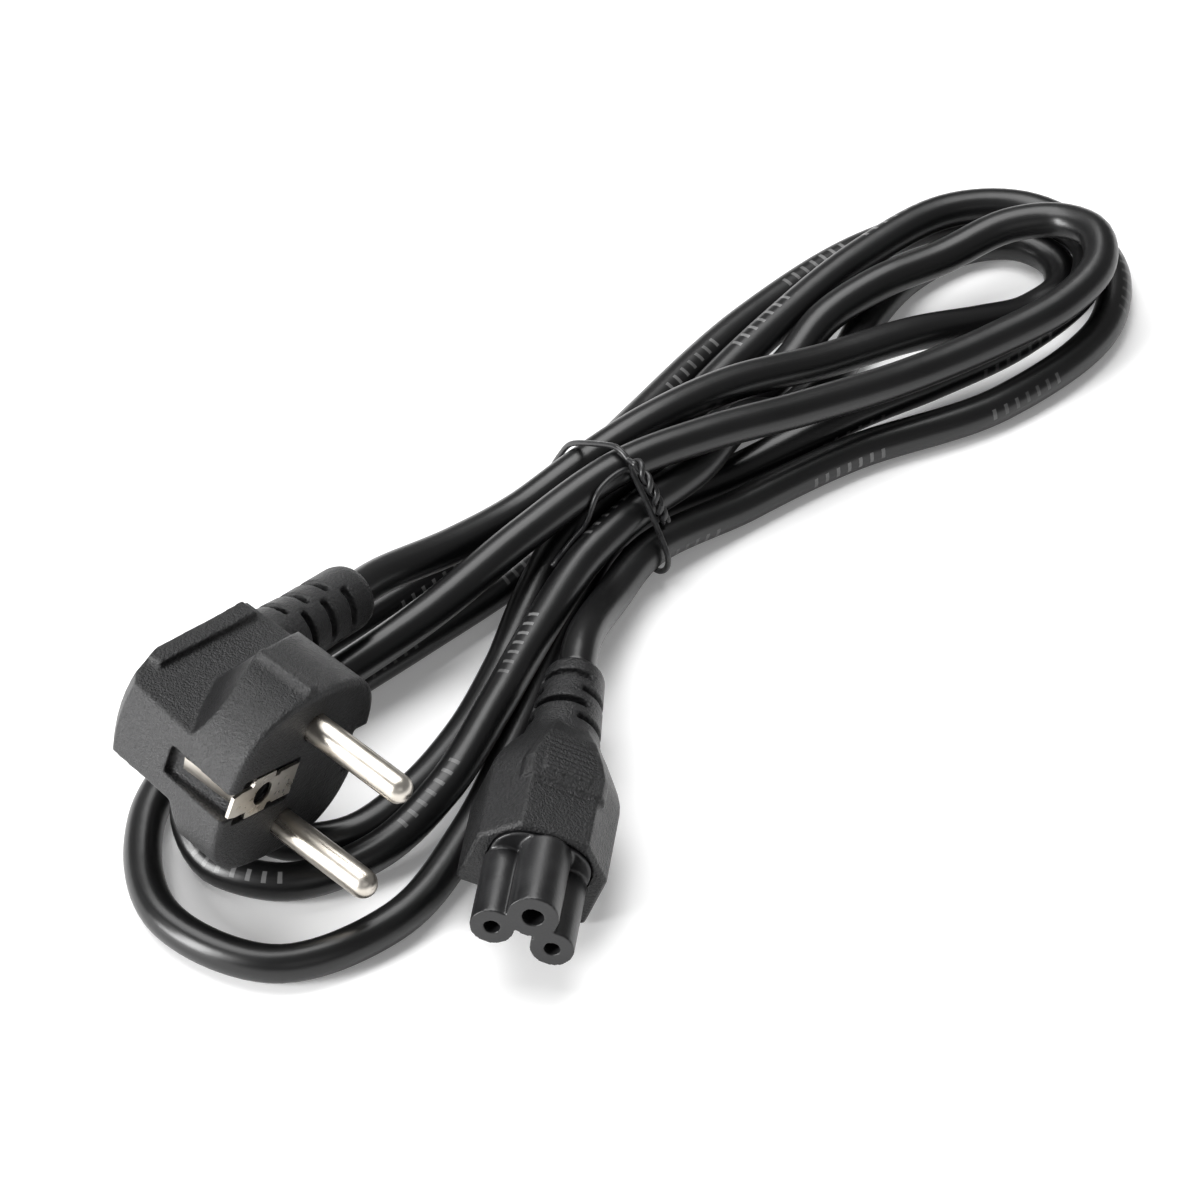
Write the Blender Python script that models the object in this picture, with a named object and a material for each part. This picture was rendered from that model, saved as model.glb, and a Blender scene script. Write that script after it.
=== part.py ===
"""Laptop power cord: a moulded mains plug, a long lead folded into a tied hank and a three-pole connector.

Metres, +Z up, the floor at z = 0 and the origin under the middle of the folded cord.
"""

import math

import bmesh
import bpy
from mathutils import Matrix, Vector

for leftover in list(bpy.data.objects):
    bpy.data.objects.remove(leftover, do_unlink=True)

MM = 0.001
GAP = 0.3 * MM

# The lead
CORD_DIAMETER = 6.2 * MM
CORD_POINT_COUNT = 96
ROUTE_STEPS = 12
CORD_BEVEL_RESOLUTION = 3

# A turn of one radian takes as many of the lead's points as this much straight length
BEND_WEIGHT = 18.0 * MM

# The mains plug, in its own frame: x towards the earth socket, z along the pins, its face at z = 0
PLUG_FACE = (-54.84 * MM, -75.33 * MM, 24.23 * MM)
PLUG_X = (-0.581, -0.763, 0.283)
PLUG_Z = (0.755, -0.635, -0.162)
PLUG_RADIUS = 17.9 * MM
PLUG_BACK_RADIUS = 16.3 * MM
PLUG_HALF_WIDTH = 16.4 * MM
PLUG_SQUARENESS = 2.8
PLUG_EDGE = 0.8 * MM
PLUG_HEAD_DEPTH = 13.0 * MM
PLUG_DEPTH = 27.1 * MM
PLUG_REAR_BULGE = 2.0 * MM

# How much the plug's earth side comes in for each length towards the rear
PLUG_TAPER = 0.12

# The flat grips at both sides behind the head: how far they lie from the middle, and how they lean
GRIP_HALF_WIDTH = 8.5 * MM
GRIP_LEAN = 0.126
GRIP_WALL_SLOPE = 0.6
GRIP_RIB_HEIGHT = 1.2 * MM
GRIP_RIB_WIDTH = 4.0 * MM
GRIP_RIB_START = -12.9 * MM
GRIP_RIB_END = 8.9 * MM
GRIP_RIB_LEAN = 0.045
HEAD_RIB_X = 2.7 * MM
HEAD_RIB_WIDTH = 2.0 * MM
HEAD_RIB_HEIGHT = 0.8 * MM
HEAD_RIB_LENGTH = 11.4 * MM

# The grips' front edge, as (reach in plug radii, how far behind the head's rear edge)
GRIP_FRONT = (
    (1.6, -7.5 * MM), (0.93, -2.1 * MM), (0.53, 1.9 * MM), (0.19, 4.5 * MM),
    (-0.25, 4.35 * MM), (-0.7, 4.2 * MM), (-1.6, 4.2 * MM),
)

# The rear wall, as (distance inside the plug's earth side, distance before the plug's depth)
REAR_WALL = (
    (-12.1 * MM, 13.1 * MM), (0.9 * MM, 9.1 * MM), (2.4 * MM, 6.1 * MM), (3.0 * MM, 4.0 * MM),
    (5.9 * MM, 1.7 * MM), (11.2 * MM, 0.1 * MM), (49.9 * MM, 0.0),
)

PIN_DIAMETER = 4.8 * MM
PIN_LENGTH = 19.5 * MM
PIN_SPACING = 19.0 * MM
PIN_ROOT = 8.0 * MM
EARTH_HOLE_X = 9.0 * MM
EARTH_HOLE_DIAMETER = 4.8 * MM
EARTH_HOLE_DEPTH = 12.0 * MM
EARTH_PLATE_THICKNESS = 0.8 * MM
EARTH_PLATE_START = 1.2 * MM
EARTH_PLATE_HALF_WIDTH = 3.9 * MM
EARTH_SPRING_HALF_WIDTH = 2.2 * MM
NOTCH_HALF_WIDTH = 2.6 * MM
BACK_NOTCH_HALF_WIDTH = 4.2 * MM
NOTCH_DEPTH = 13.8 * MM
NOTCH_FLOOR = 14.6 * MM
BACK_NOTCH_FLOOR = 12.3 * MM

# The plug's strain relief, which leaves the plug along -x
NECK_START = -9.0 * MM
NECK_END = -44.0 * MM
NECK_ROOT_RADIUS = 7.4 * MM
NECK_RADIUS = 5.7 * MM
NECK_START_PLACE = (0.0, -24.0 * MM)
NECK_END_PLACE = (-1.5 * MM, -26.3 * MM)
NECK_SLOT_WIDTH = 1.5 * MM
NECK_SLOT_DEPTH = 1.6 * MM
NECK_SLOTS = (0.42, 0.50, 0.58, 0.66, 0.74, 0.82)
NECK_SLOT_TURN = -165
NECK_SLOT_SPAN = 80

# The connector, in its own frame: x to its right, y up, z along the barrels, whose ends are at z = 0
CONNECTOR_NOSE = (-20.04 * MM, -97.9 * MM, 10.9 * MM)
CONNECTOR_X = (0.925, -0.123, -0.358)
CONNECTOR_Z = (-0.132, -0.991, 0.0)
CONNECTOR_HALF_WIDTH = 10.9 * MM
CONNECTOR_UNDERSIDE = 7.3 * MM
CONNECTOR_TOP = 8.9 * MM
CONNECTOR_TOP_HALF_WIDTH = 5.6 * MM
CONNECTOR_SIDE_TOP = 3.0 * MM
CONNECTOR_FRONT = -14.8 * MM
CONNECTOR_SHOULDER = -31.0 * MM
CONNECTOR_NECK = -44.0 * MM
CONNECTOR_END = -60.8 * MM
CONNECTOR_NECK_RADIUS = 6.3 * MM
CONNECTOR_END_RADIUS = 5.0 * MM
CONNECTOR_SLOTS = (-46.1 * MM, -49.6 * MM, -53.1 * MM, -56.6 * MM)
CONNECTOR_SLOT_TURN = -20
CONNECTOR_SLOT_SPAN = 108
POCKET_DEPTH = 12.0 * MM
INSERT_HALF_WIDTH = 8.2 * MM
INSERT_HALF_HEIGHT = 6.1 * MM
INSERT_CENTRE = 1.8 * MM
INSERT_PROUD = 0.4 * MM
POLE_SPREAD = 5.0 * MM
POLE_RADIUS = 3.5 * MM
EARTH_POLE_RISE = 4.9 * MM
EARTH_POLE_RADIUS = 4.1 * MM
POLE_MOUTH_DIAMETER = 2.5 * MM
EARTH_MOUTH_DIAMETER = 3.4 * MM
MOUTH_DEPTH = 3.0 * MM
SLEEVE_DIAMETER = 3.9 * MM
EARTH_SLEEVE_DIAMETER = 4.8 * MM
SLEEVE_BORE_DIAMETER = 2.5 * MM
EARTH_SLEEVE_BORE_DIAMETER = 3.4 * MM
SLEEVE_LENGTH = 16.0 * MM

# The twist tie round the middle of the hank
TIE_PLACE = (-5.0 * MM, 7.5 * MM)
TIE_ALONG = (0.75, 0.66)
TIE_WIRE_DIAMETER = 1.3 * MM
TIE_CLEARANCE = 0.5 * MM
TIE_STEP_DEGREES = 12
TWIST_PITCH = 7.0 * MM
TWIST_POINTS_PER_TURN = 8

# How far the lead runs straight out of each strain relief
STRAIGHT_OUT = 9.0 * MM

# The folded route in millimetres, between the straight stretches at the plug and at the connector
ROUTE_MM = [
    (-32.4, -5.9, 11.8), (-22, 4.2, 10.6), (-11.4, 14.2, 12.3), (0, 23.8, 13.9), (14, 34.8, 13.2),
    (30, 44, 10.8), (46, 54, 8.8), (58, 61.5, 5.4), (67, 67.5, 3.1), (73, 74, 3.1), (72.6, 81.8, 3.1),
    (66.5, 87, 3.1), (57, 86, 3.1), (46.5, 77.6, 3.1), (39.2, 66, 3.1), (33.6, 52.3, 3.1), (25, 40, 3.2),
    (15.7, 28.6, 10.2), (8.3, 16, 10.4), (-2.1, 4, 11), (-10.5, -7.5, 10.2), (-18, -24, 9.3),
    (-25, -42, 8.6), (-33, -60, 7.2), (-43.3, -71.9, 4.7), (-57, -77.3, 3.2), (-69.2, -73, 3.2),
    (-73.2, -63.5, 7.3), (-66, -50.5, 10), (-52, -37, 9.6), (-36, -22, 11.2), (-20.5, -7, 15.2),
    (-5.1, 7.4, 17.4), (10, 17, 16.9), (26, 26, 15), (44, 37, 13), (60, 47.5, 12.8), (72.5, 57, 13.6),
    (78.8, 66, 14.8), (78.5, 74.2, 15.3), (72.6, 79.7, 14), (63.5, 79.3, 13), (52, 73, 11),
    (40.6, 66.5, 10.3), (30.9, 58.8, 8.4), (24.9, 50.8, 5.3), (15.6, 38.7, 3.5), (4.4, 22.1, 7.6),
    (-6.5, 9, 11.4), (-14.3, -1.3, 8.8), (-19.8, -12, 4.8), (-24, -26, 3.1), (-30, -42.3, 3.1),
    (-38.5, -57, 3.1), (-48, -66.5, 3.1), (-59, -67.5, 3.1), (-65.5, -60, 3.1), (-64, -48.5, 3.1),
    (-53.5, -35, 3.1), (-39, -20.5, 3.1), (-24, -5.5, 3.1), (-9.2, 11.7, 5.8), (-0.2, 26, 3.4),
    (8.5, 40.4, 4.8), (22.2, 58.8, 6.7), (37.6, 76, 8.6), (54, 88.7, 9.3), (67.8, 89.4, 9.1), (77.5, 81, 8.6),
    (76.5, 68, 8.2), (65, 55.5, 6.4), (50, 45, 5.8), (35, 35.5, 6), (14.5, 23, 3.2), (-4.6, 6.6, 5.4),
    (-13.5, -14, 3.1), (-20.6, -40, 3.1), (-29, -66, 3.1), (-40, -86, 3.1), (-58.3, -95.6, 3.1),
    (-76.3, -85, 3.1), (-79.9, -61.2, 3.1), (-65.5, -34, 3.1), (-42.5, -10, 3.1), (-13.8, 17.2, 5.2),
    (-0.4, 39.2, 3.1), (18, 65.1, 3.1), (40.2, 86.4, 3.1), (63, 95.5, 3.1), (81, 84, 3.1),
    (80.5, 64, 3.1), (61, 42, 3.1), (35, 28.6, 3.1), (16.3, 14.9, 3.1), (0.5, 1, 5.2), (-6, -12, 6),
]


def material(name, colour, roughness, metallic=0.0):
    made = bpy.data.materials.new(name)
    made.use_nodes = True
    shader = made.node_tree.nodes["Principled BSDF"]
    shader.inputs["Base Color"].default_value = (*colour, 1.0)
    shader.inputs["Roughness"].default_value = roughness
    shader.inputs["Metallic"].default_value = metallic
    return made


def frame_of(origin, x_axis, z_axis):
    """The matrix of a piece's own frame, squared up from its z axis."""
    z = Vector(z_axis).normalized()
    x = Vector(x_axis)
    x = (x - x.dot(z) * z).normalized()
    y = z.cross(x)
    turn = Matrix((x, y, z)).transposed().to_4x4()
    return Matrix.Translation(origin) @ turn


def add_mesh(name, bm, frame, finish=None):
    bmesh.ops.recalc_face_normals(bm, faces=bm.faces)
    data = bpy.data.meshes.new(name)
    bm.to_mesh(data)
    bm.free()
    if finish:
        data.materials.append(finish)
    made = bpy.data.objects.new(name, data)
    made.matrix_world = frame
    bpy.context.scene.collection.objects.link(made)
    return made


def add_loft(bm, rings):
    """A closed skin over rings of the same number of points, with flat ends."""
    rows = [[bm.verts.new(point) for point in ring] for ring in rings]
    for low, high in zip(rows, rows[1:]):
        for i in range(len(low)):
            j = (i + 1) % len(low)
            bm.faces.new((low[i], low[j], high[j], high[i]))
    bm.faces.new(rows[0][::-1])
    bm.faces.new(rows[-1])


def add_box(bm, low, high):
    corners = [(x, y) for x, y in ((low[0], low[1]), (high[0], low[1]), (high[0], high[1]), (low[0], high[1]))]
    add_loft(bm, [[(x, y, z) for x, y in corners] for z in (low[2], high[2])])


def circle(radius, height, centre=(0.0, 0.0), count=32):
    turns = [2 * math.pi * i / count for i in range(count)]
    return [(centre[0] + radius * math.cos(t), centre[1] + radius * math.sin(t), height) for t in turns]


def oval(plus, minus, half, power, height, back_power=2.0, count=72):
    """A superellipse ring that reaches +plus and -minus in x, each side with its own squareness."""
    ring = []
    for i in range(count):
        turn = 2 * math.pi * (i + 0.5) / count
        c, s = math.cos(turn), math.sin(turn)
        reach, squareness = (plus, power) if c > 0 else (minus, back_power)
        x = math.copysign(reach * abs(c) ** (2 / squareness), c)
        y = math.copysign(half * abs(s) ** (2 / squareness), s)
        ring.append((x, y, height))
    return ring


def arc_slot(bm, start, end, inner, outer, first_degrees, last_degrees, to_point, steps=10):
    """A sector of a ring round an axis, as a cutter for one slot of a strain relief."""
    rings = []
    for i in range(steps + 1):
        turn = math.radians(first_degrees + (last_degrees - first_degrees) * i / steps)
        corners = ((inner, start), (outer, start), (outer, end), (inner, end))
        rings.append([to_point(r * math.cos(turn), r * math.sin(turn), along) for r, along in corners])
    add_loft(bm, rings)


def combine(target, other, operation, overlapping=False):
    """An exact Boolean with a helper object, whose own pieces may be overlapping each other."""
    other.hide_render = True
    other.display_type = "WIRE"
    step = target.modifiers.new(f"{operation.title()} {other.name}", "BOOLEAN")
    step.operation = operation
    step.solver = "EXACT"
    step.use_self = overlapping
    step.object = other


def smooth_route(points, steps=ROUTE_STEPS):
    """Centripetal Catmull-Rom samples of the route: about `steps` for each of its stretches."""
    ends = [2 * points[0] - points[1], *points, 2 * points[-1] - points[-2]]
    samples = []
    for a, b, c, d in zip(ends, ends[1:], ends[2:], ends[3:]):
        t1 = (b - a).length ** 0.5
        t2 = t1 + (c - b).length ** 0.5
        t3 = t2 + (d - c).length ** 0.5
        for i in range(steps):
            t = t1 + (t2 - t1) * i / steps
            ab = a.lerp(b, t / t1)
            bc = b.lerp(c, (t - t1) / (t2 - t1))
            cd = c.lerp(d, (t - t2) / (t3 - t2))
            abc = ab.lerp(bc, t / t2)
            bcd = bc.lerp(cd, (t - t1) / (t3 - t1))
            samples.append(abc.lerp(bcd, (t - t1) / (t2 - t1)))
    samples.append(points[-1])
    return samples


def thinned(samples, count, bend_weight):
    """The samples cut down to `count` points, which lie closer together where the route turns."""
    spans = [0.0]
    for before, here, after in zip([samples[0], *samples], samples, samples[1:]):
        turn = (here - before).angle(after - here, 0.0) if here != before else 0.0
        spans.append(spans[-1] + (after - here).length + bend_weight * turn)
    chosen = []
    at = 0
    for k in range(count):
        wanted = spans[-1] * k / (count - 1)
        while at < len(spans) - 2 and spans[at + 1] < wanted:
            at += 1
        share = (wanted - spans[at]) / (spans[at + 1] - spans[at])
        chosen.append(samples[at].lerp(samples[at + 1], min(share, 1.0)))
    return chosen


def add_tube(name, points, diameter, finish, resolution):
    curve = bpy.data.curves.new(name, "CURVE")
    curve.dimensions = "3D"
    curve.twist_mode = "MINIMUM"
    curve.bevel_depth = diameter / 2
    curve.bevel_resolution = resolution
    curve.use_fill_caps = True
    spline = curve.splines.new("POLY")
    spline.points.add(len(points) - 1)
    for slot, point in zip(spline.points, points):
        slot.co = (*point, 1.0)
    curve.materials.append(finish)
    made = bpy.data.objects.new(name, curve)
    bpy.context.scene.collection.objects.link(made)
    return made


def neck_frame():
    """Where the plug's strain relief starts and ends, and two directions across it, in the plug's frame."""
    start = Vector((NECK_START, *NECK_START_PLACE))
    end = Vector((NECK_END, *NECK_END_PLACE))
    along = (end - start).normalized()
    across = Vector((0, 0, 1)) - along * along.z
    across.normalize()
    return start, end, along, across, along.cross(across)


def route_points(plug, connector):
    """The whole route, whose two ends meet the strain reliefs square on."""
    start, end, along, across, side = neck_frame()
    plug_exit = [plug @ (end + along * reach) for reach in (GAP, STRAIGHT_OUT)]
    connector_exit = [connector @ Vector((0, 0, CONNECTOR_END - reach)) for reach in (STRAIGHT_OUT, GAP)]
    return [*plug_exit, *(Vector(point) * MM for point in ROUTE_MM), *connector_exit]


def grip_half_width(x):
    """How far a grip's flat lies from the plug's middle plane at x."""
    return GRIP_HALF_WIDTH - GRIP_LEAN * x


def grip_cutter(bm, sign):
    """What the finger grip takes off one side: a flat behind the head, up to a sloping front wall."""
    outside = PLUG_HALF_WIDTH + 4 * MM
    edge = [(reach * PLUG_RADIUS, -PLUG_HEAD_DEPTH - behind) for reach, behind in GRIP_FRONT]
    rear = -PLUG_DEPTH - 12 * MM
    inner, outer = [], []
    for x, z in edge:
        inner.append((x, sign * grip_half_width(x), z))
        outer.append((x, sign * outside, z + GRIP_WALL_SLOPE * (outside - grip_half_width(x))))
    for x, y, z in (inner[-1], inner[0]):
        inner.append((x, y, rear))
        outer.append((x, sign * outside, rear))
    add_loft(bm, [inner, outer])


def rear_cutter(bm):
    """What lies behind the rear wall, which bulges in the middle to carry the strain relief."""
    wall = [(PLUG_RADIUS - inside, -PLUG_DEPTH + before) for inside, before in REAR_WALL]
    far = -PLUG_DEPTH - 16 * MM
    half = grip_half_width(-PLUG_BACK_RADIUS)
    rings = []
    for share in (-2.0, -1.0, -0.75, -0.4, 0.0, 0.4, 0.75, 1.0, 2.0):
        bulge = PLUG_REAR_BULGE * max(0.0, 1 - share * share)
        ring = [(x, share * half, z - bulge) for x, z in wall]
        ring += [(wall[-1][0], share * half, far), (wall[0][0], share * half, far)]
        rings.append(ring)
    add_loft(bm, rings)


def neck_ring(share, radius, count=32):
    start, end, along, across, side = neck_frame()
    middle = start.lerp(end, share)
    turns = [2 * math.pi * i / count for i in range(count)]
    return [middle + radius * (across * math.cos(t) + side * math.sin(t)) for t in turns]


def plug_body(frame, finish):
    r, b, w = PLUG_RADIUS, PLUG_BACK_RADIUS, PLUG_HALF_WIDTH
    edge, power = PLUG_EDGE, PLUG_SQUARENESS
    far = PLUG_DEPTH + 6 * MM
    bm = bmesh.new()
    add_loft(bm, [
        oval(r - edge, b - edge, w - edge, power, 0.0, power),
        oval(r - 0.3 * edge, b - 0.3 * edge, w - 0.3 * edge, power, -0.3 * edge, power),
        oval(r, b, w, power, -edge, power),
        oval(r - PLUG_TAPER * far, b, w, power, -far, power),
    ])
    body = add_mesh("plug_body", bm, frame, finish)

    for sign, name in ((-1, "upper"), (1, "lower")):
        bm = bmesh.new()
        grip_cutter(bm, sign)
        combine(body, add_mesh(f"helper_{name}_grip", bm, frame), "DIFFERENCE")

    bm = bmesh.new()
    for sign in (-1, 1):
        rings = []
        for x in (GRIP_RIB_START, GRIP_RIB_END):
            flat = grip_half_width(x)
            low, high = sign * (flat - 2 * MM), sign * (flat + GRIP_RIB_HEIGHT)
            front = -PLUG_DEPTH + GRIP_RIB_WIDTH - (x - GRIP_RIB_START) * GRIP_RIB_LEAN
            rear = -PLUG_DEPTH - 4 * MM
            rings.append([(x, low, front), (x, high, front - 0.6 * MM), (x, high, rear), (x, low, rear)])
        add_loft(bm, rings)
    combine(body, add_mesh("helper_grip_ribs", bm, frame), "UNION")

    bm = bmesh.new()
    rear_cutter(bm)
    combine(body, add_mesh("helper_rear", bm, frame), "DIFFERENCE")

    bm = bmesh.new()
    profile = (
        (0.0, NECK_ROOT_RADIUS), (0.22, NECK_ROOT_RADIUS - 0.5 * MM), (0.36, NECK_RADIUS + 0.4 * MM),
        (0.6, NECK_RADIUS), (0.96, NECK_RADIUS - 0.1 * MM), (1.0, NECK_RADIUS - 0.7 * MM),
    )
    add_loft(bm, [neck_ring(share, radius) for share, radius in profile])
    combine(body, add_mesh("helper_neck", bm, frame), "UNION")

    bm = bmesh.new()
    half = HEAD_RIB_WIDTH / 2
    low, high = -w - HEAD_RIB_HEIGHT, -w + 2 * MM
    add_box(bm, (HEAD_RIB_X - half, low, -HEAD_RIB_LENGTH - edge), (HEAD_RIB_X + half, high, -edge))
    combine(body, add_mesh("helper_head_rib", bm, frame), "UNION")

    bm = bmesh.new()
    out = 3 * MM
    add_box(bm, (NOTCH_FLOOR, -NOTCH_HALF_WIDTH, -NOTCH_DEPTH), (r + out, NOTCH_HALF_WIDTH, out))
    half = BACK_NOTCH_HALF_WIDTH
    add_box(bm, (-b - out, -half, -NOTCH_DEPTH), (-BACK_NOTCH_FLOOR, half, out))
    for low, high in contact_boxes():
        add_box(bm, [v - GAP for v in low], [v + GAP for v in high])
    combine(body, add_mesh("helper_notches", bm, frame), "DIFFERENCE", overlapping=True)

    bm = bmesh.new()
    radius = PIN_DIAMETER / 2 + GAP
    for sign in (-1, 1):
        centre = (0.0, sign * PIN_SPACING / 2)
        add_loft(bm, [circle(radius, z, centre) for z in (-PIN_ROOT, 2 * MM)])
    radius = EARTH_HOLE_DIAMETER / 2 + GAP
    add_loft(bm, [circle(radius, z, (EARTH_HOLE_X, 0.0)) for z in (-EARTH_HOLE_DEPTH, 2 * MM)])
    combine(body, add_mesh("helper_plug_bores", bm, frame), "DIFFERENCE")

    bm = bmesh.new()
    start, end, along, across, side = neck_frame()
    length = (end - start).length

    def on_neck(u, v, share):
        return start + along * length * share + across * u + side * v

    half = NECK_SLOT_WIDTH / 2 / length
    inner, outer = NECK_RADIUS - NECK_SLOT_DEPTH, NECK_RADIUS + 4 * MM
    for number, share in enumerate(NECK_SLOTS):
        for first in (NECK_SLOT_TURN, NECK_SLOT_TURN + 180):
            first += 90 * (number % 2)
            arc_slot(bm, share - half, share + half, inner, outer, first, first + NECK_SLOT_SPAN, on_neck)
    combine(body, add_mesh("helper_plug_slots", bm, frame), "DIFFERENCE")
    return body


def contact_boxes():
    """The earthing contact as boxes: face plate, front spring, bridge inside the body, back spring."""
    t = EARTH_PLATE_THICKNESS
    half = EARTH_SPRING_HALF_WIDTH
    front = NOTCH_FLOOR - 0.4 * MM
    back = -BACK_NOTCH_FLOOR + 0.4 * MM
    deep = -NOTCH_DEPTH - 1.6 * MM
    return [
        ((EARTH_PLATE_START, -EARTH_PLATE_HALF_WIDTH, -t), (front, EARTH_PLATE_HALF_WIDTH, 0.0)),
        ((front - 0.6 * MM, -half, deep), (front + t, half, 0.0)),
        ((back - t, -half, deep), (front + t, half, deep + t)),
        ((back - t, -half, deep), (back, half, -1.5 * MM)),
    ]


def earth_contact(frame, finish):
    boxes = contact_boxes()
    bm = bmesh.new()
    add_box(bm, *boxes[0])
    contact = add_mesh("earth_contact", bm, frame, finish)
    for number, (low, high) in enumerate(boxes[1:], 1):
        bm = bmesh.new()
        add_box(bm, low, high)
        combine(contact, add_mesh(f"helper_contact_{number}", bm, frame), "UNION")
    bm = bmesh.new()
    radius = EARTH_HOLE_DIAMETER / 2
    add_loft(bm, [circle(radius, z, (EARTH_HOLE_X, 0.0)) for z in (-EARTH_HOLE_DEPTH, 2 * MM)])
    combine(contact, add_mesh("helper_contact_hole", bm, frame), "DIFFERENCE")
    return contact


def pin(name, sign, frame, finish):
    radius = PIN_DIAMETER / 2
    centre = (0.0, sign * PIN_SPACING / 2)
    bm = bmesh.new()
    rings = [circle(radius, -PIN_ROOT + GAP, centre), circle(radius, PIN_LENGTH - radius, centre)]
    for turn in (25, 50, 70):
        height = PIN_LENGTH - radius + radius * math.sin(math.radians(turn))
        rings.append(circle(radius * math.cos(math.radians(turn)), height, centre))
    add_loft(bm, rings)
    return add_mesh(name, bm, frame, finish)


def housing_reach(turn):
    """How far the connector's outline lies from its centre line in one direction."""
    w, t = CONNECTOR_HALF_WIDTH, CONNECTOR_TOP_HALF_WIDTH
    low, side, top = -CONNECTOR_UNDERSIDE, CONNECTOR_SIDE_TOP, CONNECTOR_TOP
    corners = [(w, low), (w, side), (t, top), (-t, top), (-w, side), (-w, low)]
    c, s = math.cos(turn), math.sin(turn)
    reach = []
    for (ax, ay), (bx, by) in zip(corners, corners[1:] + corners[:1]):
        nx, ny = by - ay, ax - bx
        facing = c * nx + s * ny
        if facing > 1e-9:
            reach.append((ax * nx + ay * ny) / facing)
    least = min(reach)
    return (sum(max(r, least) ** -14 for r in reach)) ** (-1 / 14)


def housing_ring(height, roundness, shrink=0.0, count=72):
    """One section of the connector: its outline, drawn towards a circle by roundness, from 0 to 1."""
    ring = []
    for i in range(count):
        turn = 2 * math.pi * i / count
        reach = (1 - roundness) * (housing_reach(turn) - shrink) + roundness * CONNECTOR_NECK_RADIUS
        ring.append((reach * math.cos(turn), reach * math.sin(turn), height))
    return ring


def connector_body(frame, finish):
    front, shoulder, neck, end = CONNECTOR_FRONT, CONNECTOR_SHOULDER, CONNECTOR_NECK, CONNECTOR_END
    fall = neck - shoulder
    bm = bmesh.new()
    add_loft(bm, [
        housing_ring(front, 0.0, 0.9 * MM),
        housing_ring(front - 0.5 * MM, 0.0, 0.2 * MM),
        housing_ring(front - 1.5 * MM, 0.0),
        housing_ring(shoulder, 0.0),
        housing_ring(shoulder + 0.3 * fall, 0.16),
        housing_ring(shoulder + 0.6 * fall, 0.5),
        housing_ring(shoulder + 0.85 * fall, 0.86),
        housing_ring(neck, 1.0),
        circle(CONNECTOR_END_RADIUS, end + 0.8 * MM, count=72),
        circle(CONNECTOR_END_RADIUS - 0.7 * MM, end, count=72),
    ])
    body = add_mesh("connector_body", bm, frame, finish)

    bm = bmesh.new()
    low, high = front - POCKET_DEPTH, front + 3 * MM
    width, height = INSERT_HALF_WIDTH + GAP, INSERT_HALF_HEIGHT + GAP
    add_loft(bm, [insert_ring(width, height, z) for z in (low, high)])
    combine(body, add_mesh("helper_pocket", bm, frame), "DIFFERENCE")

    bm = bmesh.new()

    def on_axis(u, v, along):
        return Vector((u, v, along))

    half = NECK_SLOT_WIDTH / 2
    inner = (CONNECTOR_NECK_RADIUS + CONNECTOR_END_RADIUS) / 2 - NECK_SLOT_DEPTH
    outer = CONNECTOR_NECK_RADIUS + 4 * MM
    for number, height in enumerate(CONNECTOR_SLOTS):
        for first in (CONNECTOR_SLOT_TURN, CONNECTOR_SLOT_TURN + 180):
            first += 90 * (number % 2)
            arc_slot(bm, height - half, height + half, inner, outer, first, first + CONNECTOR_SLOT_SPAN, on_axis)
    combine(body, add_mesh("helper_connector_slots", bm, frame), "DIFFERENCE")
    return body


def insert_ring(half_width, half_height, z):
    return [(x, y + INSERT_CENTRE, z) for x, y, z in oval(half_width, half_width, half_height, 2.4, z, 2.4, 64)]


def poles():
    """Each pole's name, centre, barrel radius, mouth and sleeve diameters."""
    line = (POLE_RADIUS, POLE_MOUTH_DIAMETER, SLEEVE_DIAMETER, SLEEVE_BORE_DIAMETER)
    earth = (EARTH_POLE_RADIUS, EARTH_MOUTH_DIAMETER, EARTH_SLEEVE_DIAMETER, EARTH_SLEEVE_BORE_DIAMETER)
    return [
        ("line", (-POLE_SPREAD, 0.0), *line),
        ("neutral", (POLE_SPREAD, 0.0), *line),
        ("earth", (0.0, EARTH_POLE_RISE), *earth),
    ]


def connector_insert(frame, finish):
    back = CONNECTOR_FRONT - POCKET_DEPTH + GAP
    proud = CONNECTOR_FRONT + INSERT_PROUD
    bm = bmesh.new()
    rings = [insert_ring(INSERT_HALF_WIDTH, INSERT_HALF_HEIGHT, z) for z in (back, proud - 0.4 * MM)]
    rings.append(insert_ring(INSERT_HALF_WIDTH - 0.4 * MM, INSERT_HALF_HEIGHT - 0.4 * MM, proud))
    add_loft(bm, rings)
    insert = add_mesh("connector_insert", bm, frame, finish)
    for name, centre, radius, mouth, sleeve, bore in poles():
        bm = bmesh.new()
        rings = [circle(radius, z, centre) for z in (CONNECTOR_FRONT + GAP, -0.4 * MM)]
        rings.append(circle(radius - 0.4 * MM, 0.0, centre))
        add_loft(bm, rings)
        combine(insert, add_mesh(f"helper_barrel_{name}", bm, frame), "UNION")
    bm = bmesh.new()
    for name, centre, radius, mouth, sleeve, bore in poles():
        chamber = sleeve / 2 + GAP
        deep = -MOUTH_DEPTH - SLEEVE_LENGTH - 2 * GAP
        levels = ((chamber, deep), (chamber, -MOUTH_DEPTH), (mouth / 2, -MOUTH_DEPTH), (mouth / 2, 2 * MM))
        add_loft(bm, [circle(r, z, centre) for r, z in levels])
    combine(insert, add_mesh("helper_insert_bores", bm, frame), "DIFFERENCE")
    return insert


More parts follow.
